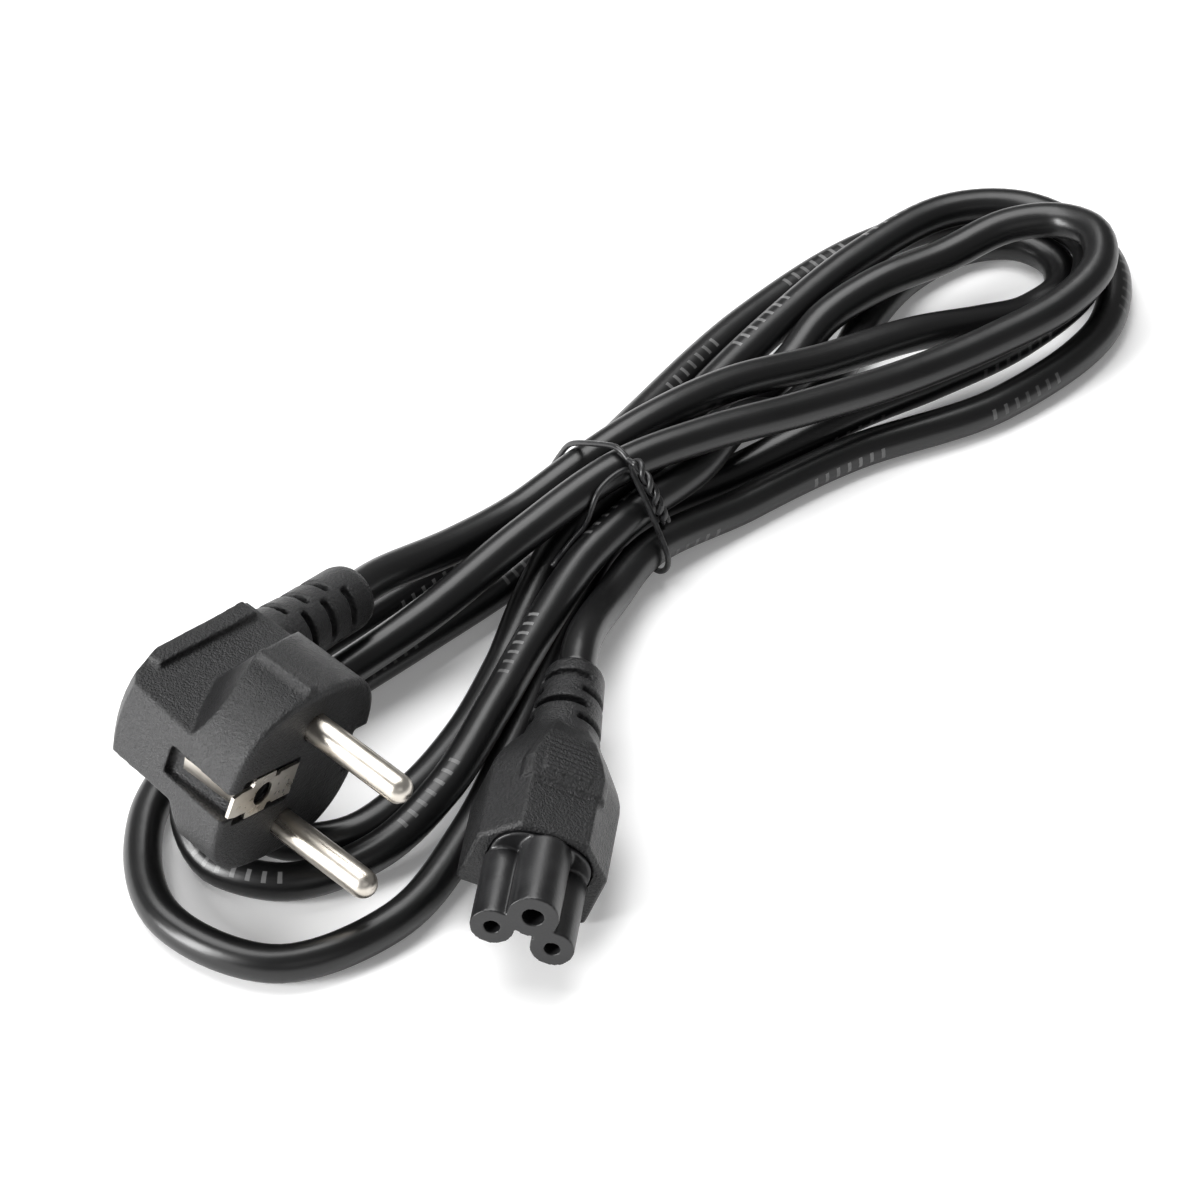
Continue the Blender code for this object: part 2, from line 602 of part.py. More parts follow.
def sleeve(pole, frame, finish):
    name, centre, radius, mouth, diameter, bore = pole
    top = -MOUTH_DEPTH - GAP
    low = top - SLEEVE_LENGTH
    bm = bmesh.new()
    outer = [circle(diameter / 2, z, centre) for z in (low, top)]
    inner = [circle(bore / 2, z, centre) for z in (top, low)]
    rows = [[bm.verts.new(point) for point in ring] for ring in outer + inner]
    for low_row, high_row in zip(rows, rows[1:] + rows[:1]):
        for i in range(len(low_row)):
            j = (i + 1) % len(low_row)
            bm.faces.new((low_row[i], low_row[j], high_row[j], high_row[i]))
    return add_mesh(f"contact_{name}", bm, frame, finish)


def strands_at_tie(samples):
    """Where the runs of the lead pass through the tie's plane: (across, height) of each."""
    along = Vector((*TIE_ALONG, 0.0)).normalized()
    across = Vector((along.y, -along.x, 0.0))
    place = Vector((*TIE_PLACE, 0.0))
    found = []
    for a, b in zip(samples, samples[1:]):
        before, after = (a - place).dot(along), (b - place).dot(along)
        if before * after > 0 or before == after:
            continue
        at = a.lerp(b, before / (before - after))
        found.append(((at - place).dot(across), at.z))
    return found, place, along, across


def tie_path(samples):
    """One wire: down the twisted pair, once round the bundle, and back down the pair."""
    strands, place, along, across = strands_at_tie(samples)
    grow = CORD_DIAMETER / 2 + TIE_CLEARANCE + TIE_WIRE_DIAMETER / 2
    lowest = TIE_WIRE_DIAMETER / 2
    loop = []
    for degrees in range(52, 52 + 349, TIE_STEP_DEGREES):
        turn = math.radians(degrees)
        u, v = math.cos(turn), math.sin(turn)
        x, z = max(strands, key=lambda strand: strand[0] * u + strand[1] * v)
        loop.append(place + across * (x + grow * u) + Vector((0, 0, max(z + grow * v, lowest))))
    base = (loop[0] + loop[-1]) / 2
    pair = (TIE_WIRE_DIAMETER + GAP) / 2
    drop = [
        base + across * 1.8 * MM + Vector((0, 0, 1.0 * MM)),
        base + across * 5.0 * MM - Vector((0, 0, 1.6 * MM)),
        base + across * 6.4 * MM - Vector((0, 0, 6.2 * MM)) + along * 1.0 * MM,
        base + across * 6.2 * MM - Vector((0, 0, 10.6 * MM)) + along * 2.6 * MM,
    ]
    centre = smooth_route(drop, 8)
    strands_of_pair = ([], [])
    travelled = 0.0
    for here, after in zip(centre, centre[1:]):
        forward = (after - here).normalized()
        side = forward.cross(along).normalized()
        other = forward.cross(side)
        turn = 2 * math.pi * travelled / TWIST_PITCH + math.pi / 2
        for strand, phase in zip(strands_of_pair, (0.0, math.pi)):
            offset = side * math.cos(turn + phase) + other * math.sin(turn + phase)
            strand.append(here + pair * offset)
        travelled += (after - here).length
    first, second = strands_of_pair
    if (first[0] - loop[0]).length > (second[0] - loop[0]).length:
        first, second = second, first
    return first[::-1] + loop + second


def main():
    black = material("black_pvc", (0.018, 0.018, 0.02), 0.55)
    jacket = material("cord_jacket", (0.012, 0.012, 0.013), 0.32)
    nickel = material("nickel_plate", (0.62, 0.58, 0.52), 0.22, 1.0)
    brass = material("contact_brass", (0.66, 0.5, 0.26), 0.3, 1.0)
    tie_coat = material("tie_coating", (0.02, 0.02, 0.022), 0.4)

    plug = frame_of(PLUG_FACE, PLUG_X, PLUG_Z)
    plug_body(plug, black)
    earth_contact(plug, nickel)
    pin("line_pin", -1, plug, nickel)
    pin("neutral_pin", 1, plug, nickel)

    connector = frame_of(CONNECTOR_NOSE, CONNECTOR_X, CONNECTOR_Z)
    connector_body(connector, black)
    connector_insert(connector, black)
    for pole in poles():
        sleeve(pole, connector, brass)

    samples = smooth_route(route_points(plug, connector))
    floor = CORD_DIAMETER / 2
    samples = [Vector((p.x, p.y, max(p.z, floor))) for p in samples]
    folded = samples[ROUTE_STEPS:-ROUTE_STEPS]
    points = [samples[0], *thinned(folded, CORD_POINT_COUNT - 2, BEND_WEIGHT), samples[-1]]
    add_tube("cord", points, CORD_DIAMETER, jacket, CORD_BEVEL_RESOLUTION)
    add_tube("twist_tie", tie_path(points), TIE_WIRE_DIAMETER, tie_coat, 2)


main()
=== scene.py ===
"""Looks of the laptop power cord: plug, folded lead, twist tie and connector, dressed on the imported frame."""

import math

import bmesh
import bpy
from mathutils import Matrix, Vector


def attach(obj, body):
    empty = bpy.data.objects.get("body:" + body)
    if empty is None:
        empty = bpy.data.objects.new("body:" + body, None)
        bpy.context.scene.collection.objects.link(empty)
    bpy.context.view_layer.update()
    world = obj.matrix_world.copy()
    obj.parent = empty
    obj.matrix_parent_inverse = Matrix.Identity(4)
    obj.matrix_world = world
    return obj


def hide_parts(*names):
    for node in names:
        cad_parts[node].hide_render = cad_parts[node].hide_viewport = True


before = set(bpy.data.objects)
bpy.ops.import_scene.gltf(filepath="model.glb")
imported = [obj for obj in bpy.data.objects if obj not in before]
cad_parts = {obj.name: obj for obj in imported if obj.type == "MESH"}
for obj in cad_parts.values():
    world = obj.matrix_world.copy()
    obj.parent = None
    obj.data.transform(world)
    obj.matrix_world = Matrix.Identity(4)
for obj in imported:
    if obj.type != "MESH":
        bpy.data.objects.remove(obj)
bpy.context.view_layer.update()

MM = 0.001
BODY = "root"

# How far a helper form reaches past a surface that it crosses, and an added form into what carries it
CUT_REACH = 4.0 * MM
JOIN_DEPTH = 2.0 * MM
OPENING_REACH = 3.0 * MM

# The grain of the remeshes that round the moulded edges
PLUG_VOXEL = 0.3 * MM
CONNECTOR_VOXEL = 0.26 * MM
INSERT_VOXEL = 0.22 * MM

# The camera looks down at the floor point under the photograph's middle
CAMERA_TARGET = Vector((-8.0 * MM, -6.0 * MM, 0.0))
CAMERA_PITCH = math.radians(41.0)
CAMERA_DISTANCE = 1.008
CAMERA_LENS = 181.5
CAMERA_SENSOR = 36.0

# The lead
CORD_DIAMETER = 6.2 * MM
CORD_SIDES = 24
CORD_STEP = 1.8 * MM
ROUTE_STEPS = 12
STRAIGHT_OUT = 9.0 * MM
GAP = 0.3 * MM

# The mains plug, in its own frame: x towards the earth socket, z along the pins, its face at z = 0
PLUG_FACE = (-54.84 * MM, -75.33 * MM, 24.23 * MM)
PLUG_X = (-0.581, -0.763, 0.283)
PLUG_Z = (0.755, -0.635, -0.162)
PLUG_RADIUS = 17.9 * MM
PLUG_BACK_RADIUS = 16.3 * MM
PLUG_HALF_WIDTH = 16.4 * MM
PLUG_SQUARENESS = 2.8
PLUG_EDGE = 0.8 * MM
PLUG_HEAD_DEPTH = 13.0 * MM
PLUG_DEPTH = 27.1 * MM
PLUG_REAR_BULGE = 2.0 * MM

# How far behind the plug's depth its blank, the grips' cutters and the rear wall's cutter end
BLANK_REAR = 6.0 * MM
GRIP_CUT_REAR = 12.0 * MM
WALL_CUT_REAR = 16.0 * MM

# How much the plug's earth side comes in for each length towards the rear
PLUG_TAPER = 0.12

# The flat grips at both sides behind the head: how far they lie from the middle, and how they lean
GRIP_HALF_WIDTH = 8.5 * MM
GRIP_LEAN = 0.126
GRIP_WALL_SLOPE = 0.6
GRIP_RIB_HEIGHT = 1.2 * MM
GRIP_RIB_WIDTH = 4.0 * MM
GRIP_RIB_START = -12.9 * MM
GRIP_RIB_END = 8.9 * MM
GRIP_RIB_LEAN = 0.045
GRIP_RIB_CHAMFER = 0.6 * MM
HEAD_RIB_X = 2.7 * MM
HEAD_RIB_WIDTH = 2.0 * MM
HEAD_RIB_HEIGHT = 1.28 * MM
HEAD_RIB_LENGTH = 11.4 * MM

# The grips' front edge, as (reach in plug radii, how far behind the head's rear edge)
GRIP_FRONT = (
    (1.6, -7.5 * MM), (0.93, -2.1 * MM), (0.53, 1.9 * MM), (0.19, 4.5 * MM),
    (-0.25, 4.35 * MM), (-0.7, 4.2 * MM), (-1.6, 4.2 * MM),
)

# The rear wall, as (distance inside the plug's earth side, distance before the plug's depth)
REAR_WALL = (
    (-12.1 * MM, 13.1 * MM), (0.9 * MM, 9.1 * MM), (2.4 * MM, 6.1 * MM), (3.0 * MM, 4.0 * MM),
    (5.9 * MM, 1.7 * MM), (11.2 * MM, 0.1 * MM), (49.9 * MM, 0.0),
)

PIN_DIAMETER = 4.8 * MM
PIN_LENGTH = 19.5 * MM
PIN_SPACING = 19.0 * MM
PIN_ROOT = 8.0 * MM
EARTH_HOLE_X = 9.0 * MM
EARTH_HOLE_DIAMETER = 4.8 * MM
EARTH_HOLE_DEPTH = 12.0 * MM
EARTH_SHEET = 0.5 * MM
EARTH_PLATE_START = 1.2 * MM
EARTH_PLATE_HALF_WIDTH = 3.9 * MM
EARTH_PLATE_PROUD = 0.1 * MM
EARTH_PLATE_POCKET = 1.1 * MM
EARTH_SPRING_HALF_WIDTH = 1.4 * MM
EARTH_SPRING_FALL = 0.36 * MM
NOTCH_HALF_WIDTH = 2.6 * MM
BACK_NOTCH_HALF_WIDTH = 4.2 * MM
NOTCH_DEPTH = 13.8 * MM
NOTCH_FLOOR = 14.6 * MM
BACK_NOTCH_FLOOR = 12.3 * MM

# The plug's strain relief, which leaves the plug along -x
NECK_START = -9.0 * MM
NECK_END = -44.0 * MM
NECK_ROOT_RADIUS = 7.4 * MM
NECK_RADIUS = 5.7 * MM
NECK_START_PLACE = (0.0, -24.0 * MM)
NECK_END_PLACE = (-1.5 * MM, -26.3 * MM)
NECK_SLOT_WIDTH = 1.5 * MM
NECK_SLOT_DEPTH = 1.6 * MM
NECK_SLOTS = (0.42, 0.50, 0.58, 0.66, 0.74, 0.82)
NECK_SLOT_TURN = -165
NECK_SLOT_SPAN = 80

# The connector, in its own frame: x to its right, y up, z along the barrels, whose ends are at z = 0
CONNECTOR_NOSE = (-20.04 * MM, -97.9 * MM, 10.9 * MM)
CONNECTOR_X = (0.925, -0.123, -0.358)
CONNECTOR_Z = (-0.132, -0.991, 0.0)
CONNECTOR_HALF_WIDTH = 10.9 * MM
CONNECTOR_UNDERSIDE = 7.3 * MM
CONNECTOR_TOP = 8.9 * MM
CONNECTOR_TOP_HALF_WIDTH = 5.6 * MM
CONNECTOR_SIDE_TOP = 3.0 * MM
CONNECTOR_FRONT = -14.8 * MM
CONNECTOR_SHOULDER = -31.0 * MM
CONNECTOR_NECK = -44.0 * MM
CONNECTOR_END = -60.8 * MM
CONNECTOR_NECK_RADIUS = 6.3 * MM
CONNECTOR_END_RADIUS = 5.0 * MM
CONNECTOR_SLOTS = (-46.1 * MM, -49.6 * MM, -53.1 * MM, -56.6 * MM)
CONNECTOR_SLOT_TURN = -20
CONNECTOR_SLOT_SPAN = 108

# The raised saddle's sections in millimetres: place along the barrels, half width and top
SADDLE_SECTIONS = (
    (-26.0, 6.5, 9.35), (-30.5, 6.5, 9.35), (-34.0, 5.6, 9.1), (-38.5, 4.2, 8.3), (-44.0, 3.0, 5.6),
)
SADDLE_TOP = 9.35 * MM
PAD_TOP = 9.75 * MM
PAD_FRONT = -28.4 * MM
PAD_BACK = -35.6 * MM
PAD_HALF_WIDTH = 3.9 * MM
PAD_RIBS = 7
PAD_RIB_HALF = 0.35 * MM
PAD_FALL = 0.1

# The pocket for the insert, and the insert with its three joined barrels
POCKET_DEPTH = 12.0 * MM
INSERT_HALF_WIDTH = 8.2 * MM
INSERT_HALF_HEIGHT = 6.1 * MM
INSERT_CENTRE = 1.8 * MM
INSERT_PROUD = 0.4 * MM
INSERT_GAP = 0.12 * MM
POLE_SPREAD = 5.0 * MM
POLE_RADIUS = 3.5 * MM
EARTH_POLE_RISE = 4.9 * MM
EARTH_POLE_RADIUS = 4.1 * MM
POLE_MOUTH_DIAMETER = 2.5 * MM
EARTH_MOUTH_DIAMETER = 3.4 * MM
BORE_LOOK_DEPTH = 9.0 * MM

# The twist tie
TIE_PLACE = (-5.0 * MM, 7.5 * MM)
TIE_ALONG = (0.75, 0.66)
TIE_WIRE_DIAMETER = 1.3 * MM
TIE_CLEARANCE = 0.5 * MM
TIE_LOOK_DIAMETER = 1.0 * MM
TIE_SIDES = 12
TIE_STEP = 0.5 * MM
TWIST_PITCH = 5.0 * MM

# Where the tie's loop starts, how far it goes round, and its step, in degrees
TIE_LOOP_START = 52
TIE_LOOP_TURN = 349
TIE_LOOP_STEP = 6

# The middle line of the twisted end, in millimetres across the hank, up and along it
TIE_TWIST = ((1.8, 1.0, 0.0), (5.0, -1.6, 0.0), (6.4, -6.2, 1.0), (6.2, -10.6, 2.6))

# The loose end of the tie in plan, in millimetres
TIE_TAIL = [(2.6, 3.4), (0.3, 5.0), (-3, 5.0), (-6.4, 2.4), (-9.7, -1.5), (-13.6, -6), (-15.8, -10.4)]

# The ink strokes: how many there are in a metre, how many groups, the inked share of each stroke's and
# each group's length, half the band's share of the turn, and the band's winding in turns for each metre
INK_STROKES = 420.0
INK_GROUPS = 28.0
INK_STROKE_SHARE = 0.3
INK_GROUP_SHARE = 0.45
INK_BAND_SHARE = 0.05
INK_WINDING = 1.7
INK_GREY = 0.17

# The folded route in millimetres, as in the CAD
ROUTE_MM = [
    (-32.4, -5.9, 11.8), (-22, 4.2, 10.6), (-11.4, 14.2, 12.3), (0, 23.8, 13.9), (14, 34.8, 13.2),
    (30, 44, 10.8), (46, 54, 8.8), (58, 61.5, 5.4), (67, 67.5, 3.1), (73, 74, 3.1), (72.6, 81.8, 3.1),
    (66.5, 87, 3.1), (57, 86, 3.1), (46.5, 77.6, 3.1), (39.2, 66, 3.1), (33.6, 52.3, 3.1), (25, 40, 3.2),
    (15.7, 28.6, 10.2), (8.3, 16, 10.4), (-2.1, 4, 11), (-10.5, -7.5, 10.2), (-18, -24, 9.3),
    (-25, -42, 8.6), (-33, -60, 7.2), (-43.3, -71.9, 4.7), (-57, -77.3, 3.2), (-69.2, -73, 3.2),
    (-73.2, -63.5, 7.3), (-66, -50.5, 10), (-52, -37, 9.6), (-36, -22, 11.2), (-20.5, -7, 15.2),
    (-5.1, 7.4, 17.4), (10, 17, 16.9), (26, 26, 15), (44, 37, 13), (60, 47.5, 12.8), (72.5, 57, 13.6),
    (78.8, 66, 14.8), (78.5, 74.2, 15.3), (72.6, 79.7, 14), (63.5, 79.3, 13), (52, 73, 11),
    (40.6, 66.5, 10.3), (30.9, 58.8, 8.4), (24.9, 50.8, 5.3), (15.6, 38.7, 3.5), (4.4, 22.1, 7.6),
    (-6.5, 9, 11.4), (-14.3, -1.3, 8.8), (-19.8, -12, 4.8), (-24, -26, 3.1), (-30, -42.3, 3.1),
    (-38.5, -57, 3.1), (-48, -66.5, 3.1), (-59, -67.5, 3.1), (-65.5, -60, 3.1), (-64, -48.5, 3.1),
    (-53.5, -35, 3.1), (-39, -20.5, 3.1), (-24, -5.5, 3.1), (-9.2, 11.7, 5.8), (-0.2, 26, 3.4),
    (8.5, 40.4, 4.8), (22.2, 58.8, 6.7), (37.6, 76, 8.6), (54, 88.7, 9.3), (67.8, 89.4, 9.1), (77.5, 81, 8.6),
    (76.5, 68, 8.2), (65, 55.5, 6.4), (50, 45, 5.8), (35, 35.5, 6), (14.5, 23, 3.2), (-4.6, 6.6, 5.4),
    (-13.5, -14, 3.1), (-20.6, -40, 3.1), (-29, -66, 3.1), (-40, -86, 3.1), (-58.3, -95.6, 3.1),
    (-76.3, -85, 3.1), (-79.9, -61.2, 3.1), (-65.5, -34, 3.1), (-42.5, -10, 3.1), (-13.8, 17.2, 5.2),
    (-0.4, 39.2, 3.1), (18, 65.1, 3.1), (40.2, 86.4, 3.1), (63, 95.5, 3.1), (81, 84, 3.1),
    (80.5, 64, 3.1), (61, 42, 3.1), (35, 28.6, 3.1), (16.3, 14.9, 3.1), (0.5, 1, 5.2), (-6, -12, 6),
]


# Shader building

class Nodes:
    """A material's node tree, filled by short calls."""

    def __init__(self, name):
        self.material = bpy.data.materials.new(name)
        self.material.use_nodes = True
        self.tree = self.material.node_tree
        self.shader = self.tree.nodes["Principled BSDF"]

    def add(self, kind, **settings):
        node = self.tree.nodes.new(kind)
        for key, value in settings.items():
            setattr(node, key, value)
        return node

    def join(self, source, target):
        self.tree.links.new(source, target)

    def coordinates(self, kind="Object", scale=(1.0, 1.0, 1.0)):
        here = self.add("ShaderNodeTexCoord")
        mapping = self.add("ShaderNodeMapping")
        mapping.inputs["Scale"].default_value = scale
        self.join(here.outputs[kind], mapping.inputs["Vector"])
        return mapping.outputs["Vector"]

    def noise(self, vector, scale, detail=2.0, roughness=0.5):
        made = self.add("ShaderNodeTexNoise")
        made.inputs["Scale"].default_value = scale
        made.inputs["Detail"].default_value = detail
        made.inputs["Roughness"].default_value = roughness
        self.join(vector, made.inputs["Vector"])
        return made.outputs["Fac"]

    def ramp(self, value, stops):
        made = self.add("ShaderNodeValToRGB")
        points = made.color_ramp.elements
        while len(points) < len(stops):
            points.new(0.5)
        for point, (place, colour) in zip(points, stops):
            point.position = place
            point.color = (*colour, 1.0) if isinstance(colour, tuple) else (colour, colour, colour, 1.0)
        self.join(value, made.inputs["Fac"])
        return made.outputs["Color"]

    def span(self, value, low, high, to_low=0.0, to_high=1.0):
        made = self.add("ShaderNodeMapRange")
        for name, number in zip(("From Min", "From Max", "To Min", "To Max"), (low, high, to_low, to_high)):
            made.inputs[name].default_value = number
        self.join(value, made.inputs["Value"])
        return made.outputs["Result"]

    def maths(self, operation, first, second):
        made = self.add("ShaderNodeMath", operation=operation)
        for slot, value in zip(made.inputs, (first, second)):
            if isinstance(value, (int, float)):
                slot.default_value = value
            else:
                self.join(value, slot)
        return made.outputs["Value"]

    def mix(self, factor, first, second):
        made = self.add("ShaderNodeMix", data_type="RGBA")
        self.join(factor, made.inputs["Factor"])
        for slot, value in zip((made.inputs[6], made.inputs[7]), (first, second)):
            if isinstance(value, tuple):
                slot.default_value = (*value, 1.0)
            else:
                self.join(value, slot)
        return made.outputs[2]

    def bump(self, height, distance, strength=1.0, normal=None):
        made = self.add("ShaderNodeBump")
        made.inputs["Distance"].default_value = distance
        made.inputs["Strength"].default_value = strength
        self.join(height, made.inputs["Height"])
        if normal:
            self.join(normal, made.inputs["Normal"])
        return made.outputs["Normal"]

    def set(self, **sockets):
        for name, value in sockets.items():
            slot = self.shader.inputs[name.replace("_", " ")]
            if isinstance(value, (int, float)):
                slot.default_value = value
            elif isinstance(value, tuple):
                slot.default_value = (*value, 1.0)
            else:
                self.join(value, slot)


def moulded_pvc():
    """Black PVC from a spark-eroded mould: fine pits, a satin sheen and paler rubbed patches."""
    n = Nodes("moulded_pvc")
    here = n.coordinates()
    pits = n.noise(here, 2100.0, 3.0, 0.65)
    cloud = n.noise(here, 90.0, 4.0, 0.55)
    fine = n.noise(here, 700.0, 2.0, 0.5)
    n.set(
        Base_Color=n.ramp(cloud, [(0.3, (0.0045, 0.0045, 0.0049)), (0.7, (0.0085, 0.0085, 0.0092))]),
        Roughness=n.span(n.maths("ADD", cloud, fine), 0.6, 1.4, 0.33, 0.46),
        Normal=n.bump(pits, 0.0003, 1.0, n.bump(fine, 0.0001, 0.3)),
    )
    return n.material


def insert_plastic():
    """The harder, smoother plastic of the connector's insert."""
    n = Nodes("insert_plastic")
    here = n.coordinates()
    cloud = n.noise(here, 160.0, 3.0, 0.5)
    fine = n.noise(here, 1900.0, 2.0, 0.5)
    n.set(
        Base_Color=n.ramp(cloud, [(0.3, (0.008, 0.008, 0.0085)), (0.7, (0.013, 0.013, 0.0137))]),
        Roughness=n.span(cloud, 0.3, 0.7, 0.3, 0.42),
        Normal=n.bump(fine, 0.00005, 0.5),
    )
    return n.material


def ink_ticks(n, along, turn, wear):
    """Groups of plain worn strokes along one side of the lead, as a factor."""
    along_stroke = n.maths("FRACT", n.maths("MULTIPLY", along, INK_STROKES), 0.0)
    stroke = n.maths("LESS_THAN", along_stroke, INK_STROKE_SHARE)
    along_group = n.maths("FRACT", n.maths("MULTIPLY", along, INK_GROUPS), 0.0)
    group = n.maths("LESS_THAN", along_group, INK_GROUP_SHARE)
    wound = n.maths("FRACT", n.maths("ADD", turn, n.maths("MULTIPLY", along, INK_WINDING)), 0.0)
    aside = n.maths("ABSOLUTE", n.maths("SUBTRACT", wound, 0.5), 0.0)
    band = n.maths("LESS_THAN", aside, INK_BAND_SHARE)
    worn = n.span(wear, 0.35, 0.65, 0.25, 0.9)
    return n.maths("MULTIPLY", n.maths("MULTIPLY", stroke, group), n.maths("MULTIPLY", band, worn))


def cord_jacket():
    """Satin black PVC jacket with faint drawing lines, and groups of plain ink strokes."""
    n = Nodes("cord_jacket")
    here = n.coordinates()
    along = n.coordinates("UV")
    split = n.add("ShaderNodeSeparateXYZ")
    n.join(along, split.inputs[0])
    cloud = n.noise(here, 60.0, 4.0, 0.5)
    drawn = n.noise(n.coordinates("UV", (40.0, 60.0, 1.0)), 1.0, 2.0, 0.5)
    ripple = n.noise(here, 240.0, 2.0, 0.5)
    jacket = n.ramp(cloud, [(0.3, (0.0035, 0.0035, 0.0037)), (0.7, (0.006, 0.006, 0.0063))])
    ink = ink_ticks(n, split.outputs["X"], split.outputs["Y"], cloud)
    n.set(
        Base_Color=n.mix(ink, jacket, (INK_GREY, INK_GREY, INK_GREY)),
        Roughness=n.span(n.maths("ADD", cloud, drawn), 0.6, 1.4, 0.27, 0.37),
        Normal=n.bump(ripple, 0.00012, 0.35),
    )
    return n.material


def plated_metal(name, dark, light, rough_low, rough_high, stretch):
    """A plated metal with fine drawing marks along one axis and cloudy tarnish."""
    n = Nodes(name)
    scratch = n.noise(n.coordinates("Object", stretch), 1.0, 3.0, 0.6)
    cloud = n.noise(n.coordinates(), 220.0, 3.0, 0.5)
    n.set(
        Base_Color=n.ramp(cloud, [(0.35, dark), (0.65, light)]),
        Metallic=1.0,
        Roughness=n.span(n.maths("ADD", scratch, cloud), 0.7, 1.3, rough_low, rough_high),
        Normal=n.bump(scratch, 0.00002, 0.2),
    )
    return n.material


def tie_coating():
    """The glossier coating of the tie's wire."""
    n = Nodes("tie_coating")
    cloud = n.noise(n.coordinates(), 900.0, 2.0, 0.5)
    n.set(
        Base_Color=n.ramp(cloud, [(0.3, (0.01, 0.01, 0.0105)), (0.7, (0.02, 0.02, 0.021))]),
        Roughness=n.span(cloud, 0.3, 0.7, 0.26, 0.4),
        Normal=n.bump(cloud, 0.0001, 0.3),
    )
    return n.material


def floor_paper():
    """A pale, slightly glowing ground, so that the shadows stay soft."""
    n = Nodes("floor_paper")
    cloud = n.noise(n.coordinates(), 12.0, 3.0, 0.5)
    n.set(
        Base_Color=n.ramp(cloud, [(0.3, (0.9, 0.9, 0.9)), (0.7, (0.93, 0.93, 0.93))]),
        Roughness=0.7,
        Emission_Color=(1.0, 1.0, 1.0),
        Emission_Strength=0.16,
    )
    return n.material


# Mesh building

def frame_of(origin, x_axis, z_axis):
    """The place of a local frame with its z axis kept and its x axis squared to it."""
    z = Vector(z_axis).normalized()
    x = Vector(x_axis)
    x = (x - x.dot(z) * z).normalized()
    turn = Matrix((x, z.cross(x), z)).transposed().to_4x4()
    return Matrix.Translation(origin) @ turn


def add_mesh(name, bm, place=None, finish=None, smooth=True):
    bmesh.ops.recalc_face_normals(bm, faces=bm.faces)
    for face in bm.faces:
        face.smooth = smooth
    data = bpy.data.meshes.new(name)
    bm.to_mesh(data)
    bm.free()
    if finish:
        data.materials.append(finish)
    made = bpy.data.objects.new(name, data)
    if place:
        made.matrix_world = place
    bpy.context.scene.collection.objects.link(made)
    return made


def add_loft(bm, rings):
    rows = [[bm.verts.new(point) for point in ring] for ring in rings]
    for low, high in zip(rows, rows[1:]):
        for i in range(len(low)):
            j = (i + 1) % len(low)
            bm.faces.new((low[i], low[j], high[j], high[i]))
    bm.faces.new(rows[0][::-1])
    bm.faces.new(rows[-1])


def add_box(bm, low, high):
    corners = ((low[0], low[1]), (high[0], low[1]), (high[0], high[1]), (low[0], high[1]))
    add_loft(bm, [[(x, y, z) for x, y in corners] for z in (low[2], high[2])])


def circle(radius, height, centre=(0.0, 0.0), count=48):
    turns = [2 * math.pi * i / count for i in range(count)]
    return [(centre[0] + radius * math.cos(t), centre[1] + radius * math.sin(t), height) for t in turns]


def oval(plus, minus, half, power, height, back_power=2.0, count=120):
    ring = []
    for i in range(count):
        turn = 2 * math.pi * (i + 0.5) / count
        c, s = math.cos(turn), math.sin(turn)
        reach, squareness = (plus, power) if c > 0 else (minus, back_power)
        x = math.copysign(reach * abs(c) ** (2 / squareness), c)
        y = math.copysign(half * abs(s) ** (2 / squareness), s)
        ring.append((x, y, height))
    return ring


def arc_slot(bm, start, end, inner, outer, first_degrees, last_degrees, to_point, steps=16):
    rings = []
    for i in range(steps + 1):
        turn = math.radians(first_degrees + (last_degrees - first_degrees) * i / steps)
        corners = ((inner, start), (outer, start), (outer, end), (inner, end))
        rings.append([to_point(r * math.cos(turn), r * math.sin(turn), along) for r, along in corners])
    add_loft(bm, rings)


def add_slots(bm, places, half, inner, outer, turn, span, to_point):
    """Pairs of opposite slots, each pair a quarter turn on from the one before."""
    for number, place in enumerate(places):
        for first in (turn, turn + 180):
            first += 90 * (number % 2)
            arc_slot(bm, place - half, place + half, inner, outer, first, first + span, to_point)


def settle(piece):
    """Applies the piece's modifiers and removes the helpers that they used."""
    helpers = [m.object for m in piece.modifiers if m.type == "BOOLEAN"]
    graph = bpy.context.evaluated_depsgraph_get()
    data = bpy.data.meshes.new_from_object(piece.evaluated_get(graph))
    piece.modifiers.clear()
    piece.data = data
    for helper in helpers:
        bpy.data.objects.remove(helper, do_unlink=True)


def combine(target, other, operation, overlapping=False):
    step = target.modifiers.new(other.name, "BOOLEAN")
    step.operation = operation
    step.solver = "EXACT"
    step.use_self = overlapping
    step.object = other


def mould(piece, voxel, rounds):
    """Rounds every edge as a mould does, by a fine remesh and a light smoothing, and stands it in place."""
    settle(piece)
    remesh = piece.modifiers.new("voxels", "REMESH")
    remesh.mode = "VOXEL"
    remesh.voxel_size = voxel
    soften = piece.modifiers.new("soften", "SMOOTH")
    soften.factor = 0.5
    soften.iterations = rounds
    settle(piece)
    for face in piece.data.polygons:
        face.use_smooth = True
    piece.data.transform(piece.matrix_world)
    piece.matrix_world = Matrix()


def dress(piece, slot, *nodes):
    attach(piece, BODY)
    if nodes:
        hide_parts(*nodes)


# The cord

